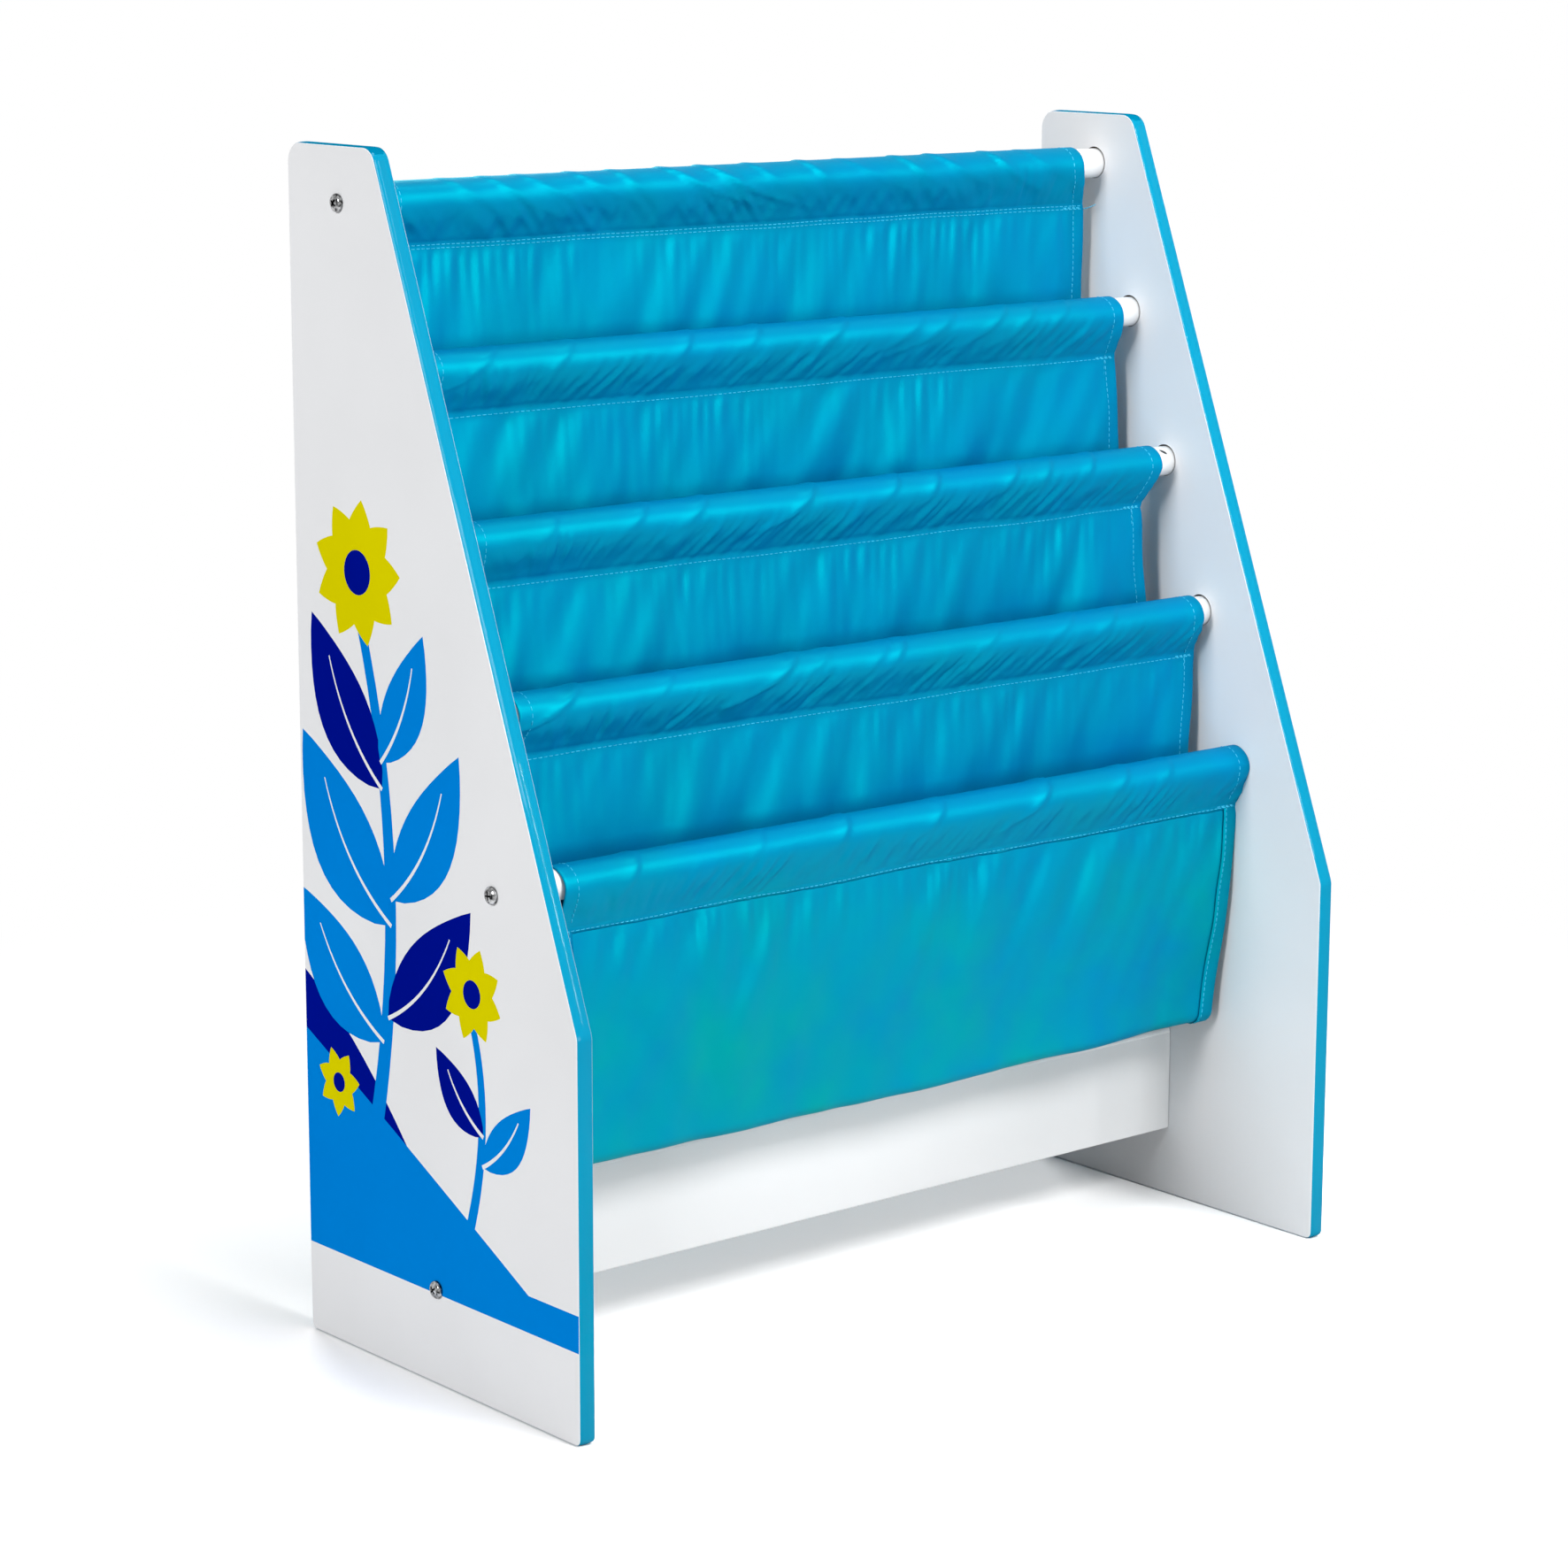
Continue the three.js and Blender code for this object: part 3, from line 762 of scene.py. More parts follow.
def cross_bar():
    line = rounded_outline([
        (bar_low.y, bar_low.z, BAR_LOW_RADIUS),
        (bar_high.y, bar_low.z, BAR_LOW_RADIUS),
        (bar_high.y, bar_high.z, BAR_TOP_RADIUS),
        (bar_low.y, bar_high.z, BAR_TOP_RADIUS),
    ], 0.0)
    holes = [
        (BAR_SCREW, BORE_RADIUS, bar_high.x - SCREW_TIP_X),
        (DOWEL_PLACE, DOWEL_HOLE_RADIUS, bar_high.x - (DOWEL_INNER_X - HEAD_GAP)),
    ]
    work = Patchwork()
    for side in SIDES.values():
        end_x = side * bar_high.x
        work.flat_face(end_x, line, [circle(*place, radius) for place, radius, _ in holes], [], side < 0)
        for place, radius, depth in holes:
            work.bore(end_x, -side, *place, [(radius, 0.0), (radius, depth), (0.0, depth)], 0, side < 0)
    ends = [[(side * bar_high.x, *point) for point in line] for side in SIDES.values()]
    work.strip(ends[0], ends[1], 0, True, True)
    piece = work.build("painted_cross_bar", [RAIL_PAINT])
    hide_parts("cross_bar")
    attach(piece, "frame")


# Screws: a domed head with a cross recess, a threaded shank and a point

def recess_cutter(turn):
    """A tapering bar that cuts one slot of the cross."""
    loops = []
    for x, length, width in ((HEAD_HEIGHT - RECESS_DEPTH, RECESS_LOW_LENGTH, RECESS_LOW_WIDTH),
                             (HEAD_HEIGHT + CUTTER_SPARE, RECESS_LENGTH, RECESS_WIDTH)):
        loop = []
        for a, b in ((-length, -width), (length, -width), (length, width), (-length, width)):
            y = (a * math.cos(turn) - b * math.sin(turn)) / 2
            z = (a * math.sin(turn) + b * math.cos(turn)) / 2
            loop.append((x, y, z))
        loops.append(loop)
    tool = Patchwork()
    tool.strip(loops[0], loops[1], 0)
    tool.face(loops[0][::-1], 0)
    tool.face(loops[1], 0)
    return tool.build("recess_cutter", [SCREW_METAL])


def screw_head():
    """One screw head at the origin, facing +X, with its underside at x = 0 and its neck behind."""
    profile = [(HEAD_HEIGHT, 0.0)]
    for i in range(1, DOME_STEPS + 1):
        angle = math.pi / 2 * i / DOME_STEPS
        dome = (HEAD_HEIGHT - HEAD_RIM) * math.cos(angle)
        profile.append((HEAD_RIM + dome, HEAD_RADIUS * math.sin(angle)))
    profile += [(HEAD_BEVEL, HEAD_RADIUS), (0.0, HEAD_RADIUS - HEAD_BEVEL), (0.0, SCREW_RADIUS)]
    profile += [(-THREAD_START, SCREW_RADIUS), (-THREAD_START, 0.0)]
    piece = lathe("screw_model", profile, 0, 0, ROUND_SIDES, SCREW_METAL)
    for turn in (0, math.pi / 2):
        cutter = recess_cutter(turn)
        carve = piece.modifiers.new("carve", "BOOLEAN")
        carve.operation = "DIFFERENCE"
        carve.solver = "EXACT"
        carve.object = cutter
        bpy.context.view_layer.update()
        carved = piece.evaluated_get(bpy.context.evaluated_depsgraph_get())
        mesh = bpy.data.meshes.new_from_object(carved)
        piece.modifiers.clear()
        piece.data = mesh
        bpy.data.objects.remove(cutter)
    return piece


def threaded_shank():
    """The shank below the plain neck: a helical ridge that runs out at the point."""
    length = SCREW_LENGTH - THREAD_START
    count = int(length / THREAD_PITCH * SHANK_STEPS_PER_TURN)
    vertices = []
    for j in range(count + 1):
        back = THREAD_START + length * j / count
        taper = max(min(1.0, (SCREW_LENGTH - back) / SCREW_TIP_LENGTH), SCREW_TIP_SHARE)
        start = min(1.0, (back - THREAD_START) / THREAD_PITCH)
        core = SCREW_CORE_RADIUS + (SCREW_RADIUS - SCREW_CORE_RADIUS) * (1 - start)
        for i in range(SHANK_SIDES):
            turn = i / SHANK_SIDES
            phase = (back / THREAD_PITCH - turn) % 1
            ridge = max(0.0, 1 - abs(phase - 0.5) * RIDGE_SLOPE)
            radius = (core + (SCREW_RADIUS - core) * ridge) * taper
            angle = math.tau * turn
            vertices.append((-back, radius * math.cos(angle), radius * math.sin(angle)))
    return vertices, tube_faces(count + 1, SHANK_SIDES)


def in_recess(points):
    """Whether a face of the screw's head lies inside the cross slot."""
    centre = sum(points, Vector()) / len(points)
    off_axis = math.hypot(centre.y, centre.z)
    dome = HEAD_RIM + (HEAD_HEIGHT - HEAD_RIM) * math.sqrt(max(0.0, 1 - (off_axis / HEAD_RADIUS) ** 2))
    return off_axis < RECESS_LENGTH / 2 and RECESS_ABOVE_HEAD_FOOT < centre.x < dome - RECESS_BELOW_DOME


def screws():
    head = screw_head()
    vertices = [Vector(v.co) for v in head.data.vertices]
    faces = [tuple(p.vertices) for p in head.data.polygons]
    bpy.data.objects.remove(head)
    shank_vertices, shank_faces = threaded_shank()
    # Faces inside the cross slot take the darker recess chrome, as painted shade.
    shaded_recess_faces = [int(in_recess([vertices[n] for n in face])) for face in faces] + [0] * len(shank_faces)
    faces += [tuple(len(vertices) + n for n in face) for face in shank_faces]
    vertices += [Vector(v) for v in shank_vertices]
    metals = [SCREW_METAL, SHADED_RECESS_METAL]
    for name, turn in SCREW_TURNS.items():
        for side_name, side in SIDES.items():
            facing = Matrix.Rotation(0 if side > 0 else math.pi, 4, "Z")
            spin = Matrix.Rotation(turn + side, 4, "X")
            head_place = (side * (OUTER_X + HEAD_GAP), *side_place(f"{name}_{side_name}"))
            place = Matrix.Translation(head_place) @ facing @ spin
            placed = [place @ v for v in vertices]
            piece = add_object(f"chromed_{name}_{side_name}", placed, faces, metals, True, shaded_recess_faces)
            piece.data.set_sharp_from_angle(angle=SCREW_SHARP_ANGLE)
            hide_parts(f"{name}_{side_name}")
            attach(piece, "frame")


# Curves and waves

NOISE_SIZE = 64
NOISE_GAIN = 1.5
NOISE_ROW = 0.5


def noise(u, v, seed):
    """Smooth seeded noise between about -1 and 1."""
    angles = np.random.default_rng(seed).uniform(0, math.tau, (NOISE_SIZE, NOISE_SIZE))
    u, v = np.broadcast_arrays(u, v)
    cell_u = np.floor(u).astype(int)
    cell_v = np.floor(v).astype(int)
    share_u = u - cell_u
    share_v = v - cell_v

    def corner(step_u, step_v):
        angle = angles[(cell_u + step_u) % NOISE_SIZE, (cell_v + step_v) % NOISE_SIZE]
        return np.cos(angle) * (share_u - step_u) + np.sin(angle) * (share_v - step_v)

    def ease(share):
        return share ** 3 * (share * (share * 6 - 15) + 10)

    low = corner(0, 0) * (1 - ease(share_u)) + corner(1, 0) * ease(share_u)
    high = corner(0, 1) * (1 - ease(share_u)) + corner(1, 1) * ease(share_u)
    return NOISE_GAIN * (low * (1 - ease(share_v)) + high * ease(share_v))


def waves(kind, across, down, number=0):
    """Noise of one kind, given as the height, width, length and first seed of its waves."""
    height, width, length, seed = kind
    return height * noise(across / width, down / length, seed + number)


def smooth_step(value, low, high):
    share = np.clip((value - low) / (high - low), 0, 1)
    return share * share * (3 - 2 * share)


def straight(start, end, step):
    count = max(2, math.ceil(math.dist(start, end) / step))
    share = np.linspace(0, 1, count + 1)[:, None]
    return np.array(start) * (1 - share) + np.array(end) * share


def round_arc(centre, radius, start, end, step):
    count = max(4, math.ceil(abs(end - start) * radius / step))
    angle = np.linspace(start, end, count + 1)
    return np.stack([centre[0] + radius * np.cos(angle), centre[1] + radius * np.sin(angle)], axis=1)


def bezier(points, step):
    a, b, c, d = (np.array(point) for point in points)
    count = max(2, math.ceil(math.dist(points[0], points[3]) / step))
    t = np.linspace(0, 1, count + 1)[:, None]
    return a * (1 - t) ** 3 + b * 3 * t * (1 - t) ** 2 + c * 3 * t ** 2 * (1 - t) + d * t ** 3


# The sling's side view: one line of stations from the back of the top sleeve to the front of the last

SLEEVE_STEP = 0.0016
POCKET_STEP = 0.0038
FOLD_STEP = POCKET_STEP * 0.6
SLEEVE_CLEARANCE = 0.0010
SEAM_RISE = 0.0015
SEAM_HALF_GAP = 0.0004
END_LAP = 0.0014
RAIL_HOLD = 1.5
RAIL_HOLD_START = 0.15
FOLD_RADIUS = 0.0064
FOLD_PLACE_SHARE = 0.54
FOLD_SAG = 0.0025
BACK_TOP_PULL = (-0.0008, -0.055)
BACK_LOW_PULL = (0.003, 0.070)
FRONT_LOW_PULL = (-0.002, 0.035)
FRONT_TOP_PULL = (0.0005, -0.045)
LAST_FRONT_TOP_PULL = (-0.0035, -0.045)

seam_heights = [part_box(f"sleeve_{k + 1}")[0].z + SEAM_RISE for k in RAILS]
sleeve_middles = [middle(f"sleeve_{k + 1}").x for k in RAILS]


def sleeve_line(index):
    """Up the back from the seam, over the rail and down to the seam, with how free each point is."""
    centre = rail_middles[index]
    seam = seam_heights[index]
    radius = RAIL_RADIUS + SLEEVE_CLEARANCE
    drop = centre.z - seam
    touch = math.atan2(SEAM_HALF_GAP, drop) + math.acos(radius / math.hypot(drop, SEAM_HALF_GAP))
    back_angle = -math.pi / 2 + touch
    tangent = (centre.y + radius * math.cos(back_angle), centre.z + radius * math.sin(back_angle))
    mirrored = (2 * centre.y - tangent[0], tangent[1])
    start = (centre.y + SEAM_HALF_GAP, seam - (END_LAP if index == RAILS[0] else 0.0))
    end = (centre.y - SEAM_HALF_GAP, seam - (END_LAP if index == RAILS[-1] else 0.0))
    back = straight(start, tangent, SLEEVE_STEP)
    over = round_arc((centre.y, centre.z), radius, back_angle, math.pi - back_angle, SLEEVE_STEP)
    front = straight(mirrored, end, SLEEVE_STEP)
    line = np.concatenate([back, over[1:], front[1:]])
    free = np.concatenate([
        np.sin(np.linspace(0, math.pi / 2, len(back))) ** 2,
        np.linspace(1, 1, len(over) - 1),
        np.cos(np.linspace(0, math.pi / 2, len(front)))[1:] ** 2,
    ])
    angle = np.arctan2(line[:, 1] - centre.z, line[:, 0] - centre.y)
    on_rail = np.clip(np.sin(angle) * RAIL_HOLD - RAIL_HOLD_START, 0, 1)
    return line, free, on_rail


def pocket_line(index):
    """Down from the seam in front of one rail, round the fold and up behind the next rail."""
    upper = rail_middles[index]
    lower = rail_middles[index + 1]
    fold_y = lower.y + (upper.y - lower.y) * FOLD_PLACE_SHARE
    fold_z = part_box(f"pocket_{index + 1}")[0].z + FOLD_SAG + FOLD_RADIUS
    top_pull = LAST_FRONT_TOP_PULL if index == POCKETS[-1] else FRONT_TOP_PULL

    def leg(start, start_pull, end_pull, end):
        near_start = (start[0] + start_pull[0], start[1] + start_pull[1])
        near_end = (end[0] + end_pull[0], end[1] + end_pull[1])
        return bezier([start, near_start, near_end, end], POCKET_STEP)

    start = (upper.y - SEAM_HALF_GAP, seam_heights[index])
    end = (lower.y + SEAM_HALF_GAP, seam_heights[index + 1])
    back = leg(start, BACK_TOP_PULL, BACK_LOW_PULL, (fold_y + FOLD_RADIUS, fold_z))
    fold = round_arc((fold_y, fold_z), FOLD_RADIUS, 0, -math.pi, FOLD_STEP)
    front = leg((fold_y - FOLD_RADIUS, fold_z), FRONT_LOW_PULL, top_pull, end)
    return np.concatenate([back, fold[1:], front[1:]])


def strip_stations():
    """The line of the strip and, at each station, the facts that its folds need."""
    parts = []
    for k in RAILS:
        line, free, on_rail = sleeve_line(k)
        parts.append({"line": line, "free": free, "on_rail": on_rail, "sleeve": k, "pocket": -1})
        if k in POCKETS:
            parts.append({"line": pocket_line(k), "free": 0.0, "on_rail": 0.0, "sleeve": -1, "pocket": k})
    gathered = {name: [] for name in ("line", "free", "on_rail", "sleeve", "pocket", "share")}
    starts = [0]
    for part in parts:
        count = len(part["line"])
        stop = count if part is parts[-1] else count - 1
        part["share"] = np.linspace(0, 1, count)
        for name, values in gathered.items():
            shape = (count, 2) if name == "line" else (count,)
            values.append(np.broadcast_to(part[name], shape)[:stop])
        starts.append(starts[-1] + stop)
    joined = {name: np.concatenate(values) for name, values in gathered.items()}
    in_pocket = joined["pocket"] >= 0
    joined["place"] = np.where(in_pocket, joined["pocket"] + joined["share"], joined["sleeve"])
    steps = np.linalg.norm(np.diff(joined["line"], axis=0), axis=1)
    joined["length"] = np.concatenate([[0], np.cumsum(steps)])
    joined["starts"] = starts[:-1] + [starts[-1] - 1]
    return joined


stations = strip_stations()
line_y = stations["line"][:, 0]
line_z = stations["line"][:, 1]
station_count = len(line_y)
STRIP_LENGTH = float(stations["length"][-1])


def part_length(part, share=0.0):
    """Where along the strip a share of a part lies. Parts run sleeve, pocket, sleeve and so on."""
    first = stations["length"][stations["starts"][part]]
    last = stations["length"][stations["starts"][part + 1]]
    return float(first + (last - first) * share)


# How far the side edges stand out: at the sleeves, at the seams, and in the back and front of the pockets

RIGHT_EDGE = (
    (-0.0028, -0.0014, -0.0014, -0.0014, 0.0018),
    (0.0072, 0.0018, -0.0080, 0.0019, 0.0030),
    ((0.0100, 0.002), (0.0070, -0.001), (-0.0010, -0.004), (-0.0005, 0.0020)),
)
LEFT_EDGE = (
    (0.0, 0.0, 0.0, 0.0, 0.0),
    (0.0020, -0.0030, 0.0035, -0.0020, 0.0020),
    ((-0.002, 0.002), (0.003, -0.002), (0.004, 0.001), (-0.003, 0.003)),
)
SLEEVE_EDGE_SHARES = (0.0, 0.3, 0.7)
POCKET_EDGE_SHARES = (0.0, 0.16, 0.45, 0.85)


def edge_shift(sleeve_edges, seam_edges, pocket_edges):
    """How far one side edge stands out from its straight line, at each station."""
    lengths = []
    values = []
    for k in RAILS:
        lengths += [part_length(2 * k, share) for share in SLEEVE_EDGE_SHARES]
        values += [seam_edges[k], sleeve_edges[k], sleeve_edges[k]]
        if k in POCKETS:
            back, front = pocket_edges[k]
            lengths += [part_length(2 * k + 1, share) for share in POCKET_EDGE_SHARES]
            values += [seam_edges[k], back, (back + front) / 2, front]
    return np.interp(stations["length"], [*lengths, STRIP_LENGTH], [*values, seam_edges[-1]])[:, None]


# How the cloth hangs. Each kind of waves is their height, width, length and first seed.

BROAD_WAVES = (0.0034, 0.085, 0.26, 11)
NARROW_WAVES = (0.0019, 0.030, 0.13, 21)
CREASE_WAVES = (0.0012, 0.018, 0.07, 31)
CREASE_PATCHES = (1.0, 0.06, 0.1, 51)
GATHER_WAVES = (0.0013, 0.0052, 0.05, 41)
GATHER_PATCHES = (1.0, 0.07, 1.0, 56)
SWING_WAVES = (1.0, 0.017, 0.09, 46)
SLEEVE_PATCHES = (1.1, 0.055, 1.0, 81)
SLEEVE_SLACK = (0.0006, 0.070, 0.2, 61)
SLEEVE_GATHERS = (0.0014, 0.0044, 0.05, 71)
SLEEVE_BROAD = (0.0013, 0.019, 0.08, 76)
SLEEVE_PUCKER = (0.0006, 0.006, 0.03, 121)
EDGE_WOBBLE = (0.0009, 0.028, 1.0, 131)
FOLD_WAVES = (0.0009, 0.05, 1.0, 141)
SEAM_WAVES = (0.0007, 0.07, 1.0, 151)
NARROW_SLANTS = (0.45, 0.80, 0.50, 0.30, 0.12)
CREASE_SLANT = 0.5
SWING_SLANT = 0.4
SWING_HEIGHTS = (0.0012, 0.0013, 0.0013, 0.0013, 0.0022)
CREASE_PATCH_LEVEL = 0.4
GATHER_PATCH_LEVEL = 0.7
GATHER_PATCH_LIMITS = (0.2, 1.2)
GATHER_PATCH_ROW = 0.7
HANG_REACH = 0.030
START_REACH = 0.003
GATHER_REACH = 0.018
SWING_REACH = 0.055


def curtain(seam, across, drop):
    """How far cloth that hangs from a seam swings to and fro, the same for both layers there."""
    hang = 1 - np.exp(-drop / HANG_REACH)
    start = 1 - np.exp(-drop / START_REACH)
    broad = waves(BROAD_WAVES, across, drop, seam)
    narrow = waves(NARROW_WAVES, across + drop * NARROW_SLANTS[seam], drop, seam)
    crease = waves(CREASE_WAVES, across - drop * CREASE_SLANT, drop, seam)
    crease *= np.clip(waves(CREASE_PATCHES, across, drop, seam) + CREASE_PATCH_LEVEL, 0, 1)
    patch = GATHER_PATCH_LEVEL + waves(GATHER_PATCHES, across, GATHER_PATCH_ROW, seam)
    patch = np.clip(patch, *GATHER_PATCH_LIMITS)
    gather = start * patch * np.exp(-drop / GATHER_REACH) * waves(GATHER_WAVES, across, drop, seam)
    swing = SWING_HEIGHTS[seam] * start * np.exp(-drop / SWING_REACH)
    gather += swing * waves(SWING_WAVES, across + SWING_SLANT * drop, drop, seam)
    return hang * (broad + narrow + crease) + gather


SLEEVE_LEANS = (-0.95, 0.85, 0.75, 0.90, 0.60)
END_LEAN = 0.9
END_LEAN_START = 0.14
CREASE_PLACES = (
    (-0.196, -0.171, -0.150, -0.118, -0.092, -0.060, -0.035, -0.004, 0.031, 0.058, 0.096, 0.121, 0.160,
     0.187),
    (-0.187, -0.140, -0.066, -0.021, 0.037, 0.092, 0.113, 0.149, 0.170, 0.195),
    (-0.176, -0.121, -0.083, -0.012, 0.044, 0.071, 0.128, 0.152, 0.183),
    (-0.189, -0.131, -0.052, -0.030, 0.008, 0.019, 0.087, 0.139, 0.171),
    (-0.183, -0.104, -0.049, 0.016, 0.090, 0.147, 0.178),
)
CREASE_SEED = 171
CREASE_HEIGHTS = (0.0007, 0.0018)
CREASE_REACHES = (0.011, 0.026)
CREASE_BENDS = (0.5, 1.5)
CREASE_BEND_LENGTH = 0.020
CREASE_START_SLANT = 0.35
CREASE_START_HEIGHT = 0.4
CREASE_GROWTH = (0.002, 0.010)
CREASE_SHARP_WIDTH = 0.0013
CREASE_SLOW_WIDTH = 0.0060
SLEEVE_PATCH_LEVEL = 0.75
SLEEVE_PATCH_LIMITS = (0.25, 1.3)
SLEEVE_PATCH_ROW = 0.3
SLEEVE_ONSET = (0.010, 0.028)
SLEEVE_BROAD_LEAN = 0.6
GATHER_FREEDOM = 0.4
BULGE_HEIGHT = 0.0019
BULGE_START = 0.10
BULGE_LENGTH = 0.76
BULGE_POWER = 1.5
TUCK_HEIGHT = 0.0096
TUCK_PLACE = 0.94
TUCK_LENGTH = 0.045
RAIL_TOUCH = 0.0007
TOUCH_SLOPE = 0.35
TOUCH_SOFTNESS = 0.0004


def bell(value, width):
    return np.exp(-(value / width) ** 2)


def creases(index, across, down, lean):
    """Single folds that start on the rail and run out slanting down the sleeve, sharp on one side."""
    random = np.random.default_rng(CREASE_SEED + index)
    total = np.zeros(np.broadcast(across, down).shape)
    for place in CREASE_PLACES[index]:
        height = random.uniform(*CREASE_HEIGHTS)
        reach = random.uniform(*CREASE_REACHES)
        bend = random.uniform(*CREASE_BENDS)
        offset = across - place + lean * down * (CREASE_START_SLANT + bend * down / CREASE_BEND_LENGTH)
        sides = bell(offset, CREASE_SHARP_WIDTH), bell(offset, CREASE_SLOW_WIDTH)
        profile = np.where(offset * lean > 0, *sides)
        growth = CREASE_START_HEIGHT + (1 - CREASE_START_HEIGHT) * smooth_step(down, *CREASE_GROWTH)
        total += height * profile * bell(down, reach) * growth
    return total


def sleeve_puff(index, across, rows):
    """How far a sleeve's cloth stands off its taut line."""
    free = stations["free"][rows][:, None]
    on_rail = stations["on_rail"][rows][:, None]
    run = (stations["length"][rows] - part_length(2 * index))[:, None]
    half = (part_length(2 * index, 1.0) - part_length(2 * index)) / 2
    down = np.abs(run - half)
    reach = down / half
    near_end = smooth_step(np.abs(across), END_LEAN_START, HALF_WIDTH)
    lean = SLEEVE_LEANS[index] * (1 - near_end) + np.sign(across) * near_end * END_LEAN
    patch = SLEEVE_PATCH_LEVEL + waves(SLEEVE_PATCHES, across, SLEEVE_PATCH_ROW, index)
    patch = np.clip(patch, *SLEEVE_PATCH_LIMITS)
    onset = smooth_step(down, *SLEEVE_ONSET)
    bulge_share = np.clip((reach - BULGE_START) / BULGE_LENGTH, 0, 1)
    bulge = BULGE_HEIGHT * np.sin(math.pi * bulge_share) ** BULGE_POWER
    bulge -= TUCK_HEIGHT * bell(reach - TUCK_PLACE, TUCK_LENGTH) * (1 - reach)
    slack = waves(SLEEVE_SLACK, across, run, index)
    gathers = patch * onset * waves(SLEEVE_GATHERS, across + lean * down, down, index)
    gathers = gathers * free ** GATHER_FREEDOM
    broad = onset * waves(SLEEVE_BROAD, across + SLEEVE_BROAD_LEAN * lean * down, down, index)
    fold = creases(index, across, down, SLEEVE_LEANS[index])
    pucker = (1 - free) * free * 4 * waves(SLEEVE_PUCKER, across, run, index)
    stand = (1 - on_rail) * (free * (slack + broad) + gathers) + bulge + pucker + fold * free
    below = np.maximum(rail_middles[index].z - RAIL_RADIUS - line_z[rows], 0)[:, None]
    lowest = -RAIL_TOUCH - TOUCH_SLOPE * below
    return lowest + TOUCH_SOFTNESS * np.logaddexp(0, (stand - lowest) / TOUCH_SOFTNESS)


# The sheet of cloth

CLOTH_THICKNESS = 0.0003
ACROSS_STEP = 0.0016
HEM_WIDTH = 0.009
HEM_OFFSET = 0.0008
HEM_STEPS = 4
END_THINNING = 0.25
END_CLOSING = 1.1
FOLD_GATHER = 0.005
EDGE_REACH = 0.075
SEAM_WAVE_REACH = 0.010
LAYER_TURN = (0.44, 0.80)


def cloth_columns():
    """Places across the strip: (distance from the middle, offset towards the hem side, flat distance)."""
    inner = HALF_WIDTH - HEM_OFFSET / 2
    count = round(2 * inner / ACROSS_STEP)
    flat = [(across, 0.0, across) for across in np.linspace(-inner, inner, count + 1)]
    right = []
    for i in range(1, HEM_STEPS):
        angle = math.pi * i / HEM_STEPS
        out = HEM_OFFSET / 2 * math.sin(angle)
        right.append((inner + out, HEM_OFFSET / 2 * (1 - math.cos(angle)), inner))
    for i in range(HEM_STEPS + 1):
        fold = HEM_WIDTH * i / HEM_STEPS
        right.append((inner - fold, HEM_OFFSET, inner + fold))
    left = [(-across, offset, -along) for across, offset, along in reversed(right)]
    return np.array(left + flat + right), len(left), len(flat)


columns, first_column, column_count = cloth_columns()


def line_normals():
    """The normal of the line at each station: away from the rail, and into a pocket."""
    line = stations["line"]
    along = np.vstack([line[1:], line[-1:]]) - np.vstack([line[:1], line[:-1]])
    along /= np.linalg.norm(along, axis=1)[:, None]
    return np.stack([along[:, 1], -along[:, 0]], axis=1)


def below_seam(seam, rows):
    return np.maximum(seam_heights[seam] - line_z[rows], 0)[:, None]


def cloth_points():
    """The sheet's middle surface: one row for each station and one column for each place across."""
    across = columns[:, 0][None, :]
    offset = columns[:, 1][None, :]
    normal = line_normals()
    low = np.where(stations["pocket"] >= 0, np.sin(stations["share"] * math.pi), 0.0)[:, None]
    swing = np.zeros((station_count, len(columns)))
    puff = np.zeros_like(swing)
    seam_wave = np.zeros_like(swing)
    for k in POCKETS:
        rows = stations["pocket"] == k
        turn = smooth_step(stations["share"][rows][:, None], *LAYER_TURN)
        upper = curtain(k, across, below_seam(k, rows))
        lower = curtain(k + 1, across, below_seam(k + 1, rows))
        swing[rows] = upper * (1 - turn) + lower * turn
    for k in RAILS:
        rows = stations["sleeve"] == k
        puff[rows] = sleeve_puff(k, across, rows)
        swing[rows] = curtain(k, across, below_seam(k, rows))
        near = bell(line_z - seam_heights[k], SEAM_WAVE_REACH)[:, None]
        seam_wave += near * waves(SEAM_WAVES, across, NOISE_ROW, k)
    centre = np.interp(stations["place"], list(RAILS), sleeve_middles)[:, None]
    narrowed = across * (1 - 2 * FOLD_GATHER * low / SLING_WIDTH)
    run = stations["length"][:, None]
    right = smooth_step(across, HALF_WIDTH - EDGE_REACH, HALF_WIDTH)
    left = smooth_step(-across, HALF_WIDTH - EDGE_REACH, HALF_WIDTH)
    x = centre + narrowed + right * (edge_shift(*RIGHT_EDGE) + waves(EDGE_WOBBLE, run, NOISE_ROW, 0))
    x = x + left * (edge_shift(*LEFT_EDGE) + waves(EDGE_WOBBLE, run, NOISE_ROW, 1))
    sag = FOLD_SAG * low * np.cos(across / HALF_WIDTH * math.pi / 2)
    sag = sag - low ** 4 * waves(FOLD_WAVES, across, NOISE_ROW)
    y = line_y[:, None] + normal[:, :1] * (puff - offset) + swing
    z = line_z[:, None] + normal[:, 1:] * (puff - offset) - sag + seam_wave
    return np.stack([x, y, z], axis=2)


def grid_normals(points):
    normals = np.cross(np.gradient(points, axis=1), np.gradient(points, axis=0))
    return normals / np.linalg.norm(normals, axis=2)[:, :, None]


